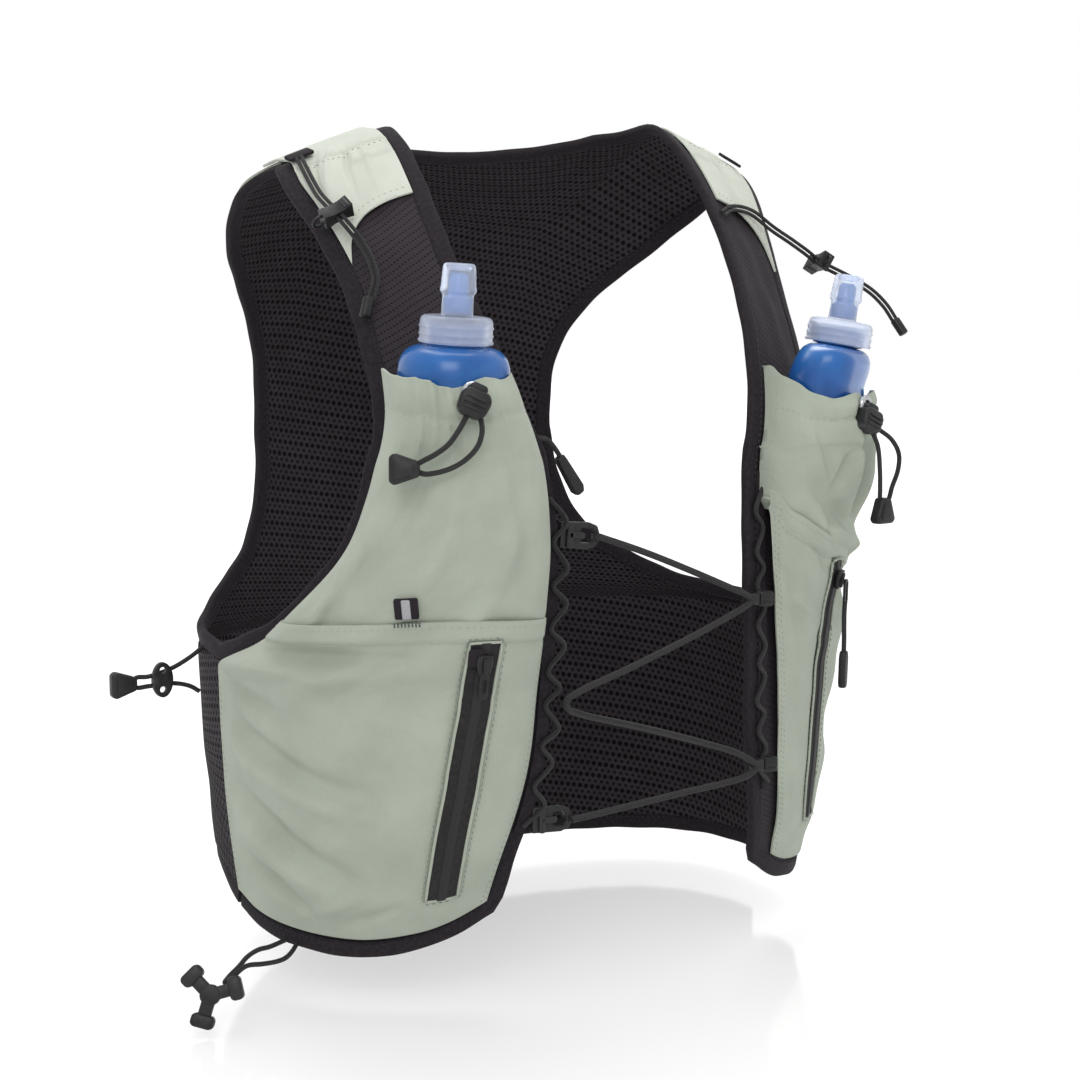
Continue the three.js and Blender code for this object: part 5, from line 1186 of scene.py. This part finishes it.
rows = [(np.array([shifted(loop_place, x=x, y=y, z=4.4)[0] for x in np.linspace(-6.6, 6.6, 9)]),
         np.tile(loop_place[3], (9, 1)))
        for y in (6.0, 6.7, 7.4)]
stitches("reflective_loop_tack", rows, dark_thread, 1.3, 0.3, 0.8, slot="black_tape")

# Grommets: rolled steel eyelets through the mouth casing, where the drawcord comes out.
steel = Finish("steel_eyelet", 0.25, Metallic=1.0)
where = steel.place()
steel.colour(steel.blend(steel.noise(where, 2), (0.34, 0.35, 0.36, 1), (0.50, 0.51, 0.53, 1)))
steel.rough(steel.level(steel.noise(where, 0.8), 0.3, 0.7, 0.2, 0.38))
steel.relief(steel.noise(where, 0.6), 0.05)
for name, level in (("right", 0.128), ("left", 0.122)):
    eyelet = frames(lambda a, l: bottle_base(name, a, l)[0], np.array(0.42), np.array(level))
    point, _, _, normal = [part.reshape(3) for part in eyelet]
    ring = [(2.6, 0.2), (2.5, 0.9), (2.9, 1.5), (3.8, 1.8), (4.7, 1.4), (5.2, 0.6), (5.1, -0.6)]
    count = 32
    turned(f"grommet_{name}_ring", ring, point + normal * 1.3, normal, steel.material, count,
           slot="steel_grommet", stands_for=[f"grommet_{name}"])

# Cords: braided elastic. The lacing zigzags between the hooks and clips of the two front edges;
# the others are drawcords and pulls with a lock, a toggle, a keeper or a clamp on them.
cord_routes = {
    "lacing_cord": {"diameter": 3.3, "far": "object", "lay": "taut", "with": [], "points": [
        (-37, -137.8, -197.6), (-10, -139, -207), (20, -140.4, -219), (40, -143.4, -227.8),
        (46.6, -144.1, -230.6), (51, -144.8, -234.2), (46.6, -144.1, -237.8), (40, -143.2, -240.8),
        (20, -141.5, -249), (-20, -141, -262), (-50, -140.5, -271), (-55.5, -140.3, -274),
        (-55, -140, -278), (-48, -139.5, -281.5), (-10, -137.5, -293), (30, -135.5, -306),
        (50, -136.1, -313.4), (57.5, -136.7, -317.6), (62.6, -137, -321.6), (57.5, -136.6, -325.4),
        (50, -135, -327.6), (20, -130.6, -331), (-20, -128, -334.6), (-43.5, -126.4, -336.6)]},
    "shoulder_cord_right": {"diameter": 1.9, "far": "object", "lay": "loose", "with": ["shoulder_right"],
                            "points": [
        (-129.1, -11, -16.4), (-130.7, -21.5, -23.4), (-131.6, -30, -29.6), (-132.6, -40, -36.2),
        (-132.6, -48.5, -40.9), (-131.5, -56, -45.6), (-129.8, -62.3, -50.6), (-125.5, -67.5, -58.5),
        (-123.2, -74, -67.5), (-123.3, -80, -77), (-126.6, -82.5, -86)]},
    "shoulder_cord_left": {"diameter": 1.9, "far": "object", "lay": "loose", "with": ["shoulder_left"],
                           "points": [
        (92.9, -65, -39), (104.9, -57.4, -35.4), (114.5, -55.4, -35.6), (123.5, -53.8, -37.8),
        (134.6, -56, -45.4), (146.5, -58.5, -52.4), (156.4, -60.5, -58.6), (163.5, -61.5, -63.5),
        (170.5, -64.3, -67), (177.4, -68, -70.8),
        (188.9, -76, -78.9), (193.9, -83, -87.2), (196, -88, -94.6)]},
    "pocket_cord_right": {"diameter": 2.4, "far": "object", "lay": "hanging",
                          "with": ["pocket_cord_end_right", "lock_right"], "points": [
        (-126.9, -169.9, -137.4), (-129.8, -168.4, -143.4), (-134, -166, -149.9), (-138.9, -161.8, -154.5),
        (-142.6, -158.6, -157), (-146.2, -157.2, -159.7), (-142.6, -159.2, -162.3), (-138.6, -162.4, -162),
        (-133, -167.2, -159.8), (-127.5, -170.4, -156), (-122.8, -172.4, -150.3), (-121, -173, -143.8),
        (-121.6, -172.4, -137.7)]},
    "pocket_cord_left": {"diameter": 2.4, "far": "object", "lay": "hanging",
                         "with": ["pocket_cord_end_left", "lock_left"], "points": [
        (115.5, -159.0, -151.0), (119.2, -159.8, -158.9), (120.9, -160.0, -171.5), (121.3, -160.0, -181.0),
        (121.7, -159.9, -187.0), (124.5, -159.7, -189.4), (127.5, -159.7, -186.6), (129.5, -159.8, -180.6),
        (133.5, -159.8, -171.6), (133.9, -159.7, -163.6), (128.9, -159.6, -156.2), (120.1, -158.8, -150.4)]},
    "side_cord": {"diameter": 2.4, "far": "object", "lay": "loose", "with": ["side_cord_end", "side_keeper"],
                  "points": [
        (-168.4, 27.6, -262), (-176.8, 26, -266.8), (-186.6, 26, -271.5), (-199.5, 26, -274.7),
        (-205.7, 26, -274.6), (-208.8, 26, -277.2), (-205.8, 26, -279.7), (-199.6, 26, -279.6),
        (-185.7, 26, -279.5), (-177.2, 26, -281.8), (-172.2, 26.5, -285)]},
    "hem_cord": {"diameter": 2.4, "far": "object", "lay": "loose", "with": ["hem_hook"], "points": [
        (-155, -38.2, -401.4), (-165.9, -43, -401.6), (-174.1, -47, -400.6), (-181.6, -51, -401.6),
        (-187.2, -54, -404.4), (-192.7, -56, -407.2), (-196.5, -58.6, -409.0), (-194.2, -61.2, -406.6),
        (-186.5, -60.6, -402.4), (-177.3, -59, -403.5), (-169.7, -57, -404.5), (-163, -54, -404.8),
        (-157.4, -50, -403.6), (-153.5, -46.6, -401.8)]},
    "inner_pull_cord": {"diameter": 2.4, "far": "fitting", "lay": "hanging", "with": ["inner_pull_grip"],
                        "points": [
        (-64.5, -126.4, -150.4), (-61.2, -125.4, -151.2), (-56.4, -123.6, -151.9), (-51.8, -122.4, -155.5),
        (-48.1, -121.9, -160), (-44.5, -121.6, -165.3), (-41.5, -121.5, -169.8)]},
}
strand_apart = 1.2
braid = Finish("braided_elastic", 0.75, Specular_IOR_Level=0.2, Sheen_Weight=0.05)
where = braid.flat()
twist = braid.waves(braid.node("Mapping", {"Vector": where, "Rotation": (0, 0, 0.72)}), 1.15, 1.15)
# lighter on the strand crests and darker in the grooves, following the braid's relief: painted highlight and
# shade
braid.colour(braid.blend(braid.level(twist, -0.6, 0.8), (0.010, 0.0095, 0.010, 1), (0.050, 0.048, 0.050, 1)))
braid.relief(twist, 0.22, 0.9)


def smooth_route(points, step):
    points = np.array(points, float)
    padded = np.concatenate([2 * points[:1] - points[1:2], points, 2 * points[-1:] - points[-2:-1]])
    made = []
    for i in range(1, len(padded) - 2):
        p0, p1, p2, p3 = padded[i - 1:i + 3]
        gaps = [max(np.linalg.norm(b - a), 1e-6) ** 0.5 for a, b in ((p0, p1), (p1, p2), (p2, p3))]
        m1 = gaps[1] * ((p1 - p0) / gaps[0] - (p2 - p0) / (gaps[0] + gaps[1]) + (p2 - p1) / gaps[1])
        m2 = gaps[1] * ((p2 - p1) / gaps[1] - (p3 - p1) / (gaps[1] + gaps[2]) + (p3 - p2) / gaps[2])
        count = max(int(np.linalg.norm(p2 - p1) / step), 2)
        for t in np.arange(count) / count:
            made.append((2 * t ** 3 - 3 * t ** 2 + 1) * p1 + (t ** 3 - 2 * t ** 2 + t) * m1
                        + (-2 * t ** 3 + 3 * t ** 2) * p2 + (t ** 3 - t ** 2) * m2)
    made.append(points[-1])
    return np.array(made)


def doubled(route, apart):
    along = unit(np.gradient(route, axis=0))
    aside = unit(np.cross(along, np.array([0.53, 0.84, -0.11]))) * apart
    turns = np.linspace(0.3, math.pi - 0.3, 6)
    bend = [route[-1] + aside[-1] * math.cos(t) + along[-1] * apart * math.sin(t) for t in turns]
    return np.concatenate([route + aside, bend, (route - aside)[::-1]])


def tube(name, route, diameter, finish, **facts):
    along = unit(np.gradient(route, axis=0))
    across = [unit(np.cross(along[0], np.array([0.3, 0.5, 0.81])))]
    for direction in along[1:]:
        across.append(unit(across[-1] - direction * (across[-1] @ direction)))
    across = np.array(across)
    run = np.concatenate([[0], np.cumsum(np.linalg.norm(np.diff(route, axis=0), axis=-1))])
    section = np.array([[diameter / 2 * math.cos(t), diameter / 2 * math.sin(t)]
                        for t in np.linspace(0, 2 * math.pi, 12, endpoint=False)])
    return swept(name, route, across, np.cross(along, across), section, run, False, finish, **facts), run[-1]


for name, cord in cord_routes.items():
    route = smooth_route(cord["points"], 1.5)
    if name.startswith("shoulder"):
        route = doubled(route, strand_apart)
    piece, length = tube(f"{name}_braid", route, cord["diameter"], braid.material, slot="grey_cord",
                         stands_for=[name])

strand = [shifted(hang, x=x, y=y, z=0.6)[0]
          for x, y in ((0, -10.5), (-0.6, -17), (0.2, -25), (1.0, -32), (1.3, -39))]
tube("zip_pull_left_cord", smooth_route(strand, 1.5), 2.6, braid.material, slot="grey_cord")

# Daisy chains: narrow webbing beside each front edge with an elastic cord waving in and out of it
# in even loops, for the lacing hooks to clip to.
loop_diameter, bumps = 2.4, 8
for name, side in sides.items():
    panel = panels[name]
    keep = (front_rows <= -0.04) & (front_rows >= -0.75)
    points, normals, insides = [part[keep] for part in column(panel["point"], panel["normal"], 0, 2)]
    line = edge_line(points, normals, insides, False)
    track = even_steps(line, 4, False)
    inward = 5.6 if name == "right" else -1.2
    base = track["point"] + track["normal"] * (front_wall / 2 + 2.9) + track["across"] * inward
    section = np.array([(-3, -0.5), (3, -0.5), (3.15, 0), (3, 0.5), (-3, 0.5), (-3.15, 0)])
    swept(f"daisy_webbing_{name}_tape", base, track["across"], track["normal"], section, track["run"], False,
          tape.material, slot="black_tape", stands_for=[f"daisy_webbing_{name}"])
    count = len(base)
    wave = []
    for i in range(2 * bumps + 1):
        at = 0.04 + 0.92 * i / (2 * bumps) + (0.006 * math.sin(i * 2.3))
        k = min(int(at * (count - 1)), count - 1)
        out = 0.0 if i % 2 == 0 else (7.2 if name == "right" else 5.5) + 0.6 * math.sin(i * 1.7)
        wave.append(base[k] + track["across"][k] * out + track["normal"][k] * 1.9)
    route = smooth_route(wave, 2)
    tube(f"daisy_cord_{name}_elastic", route, loop_diameter, braid.material, slot="grey_cord",
         stands_for=[f"daisy_cord_{name}"])
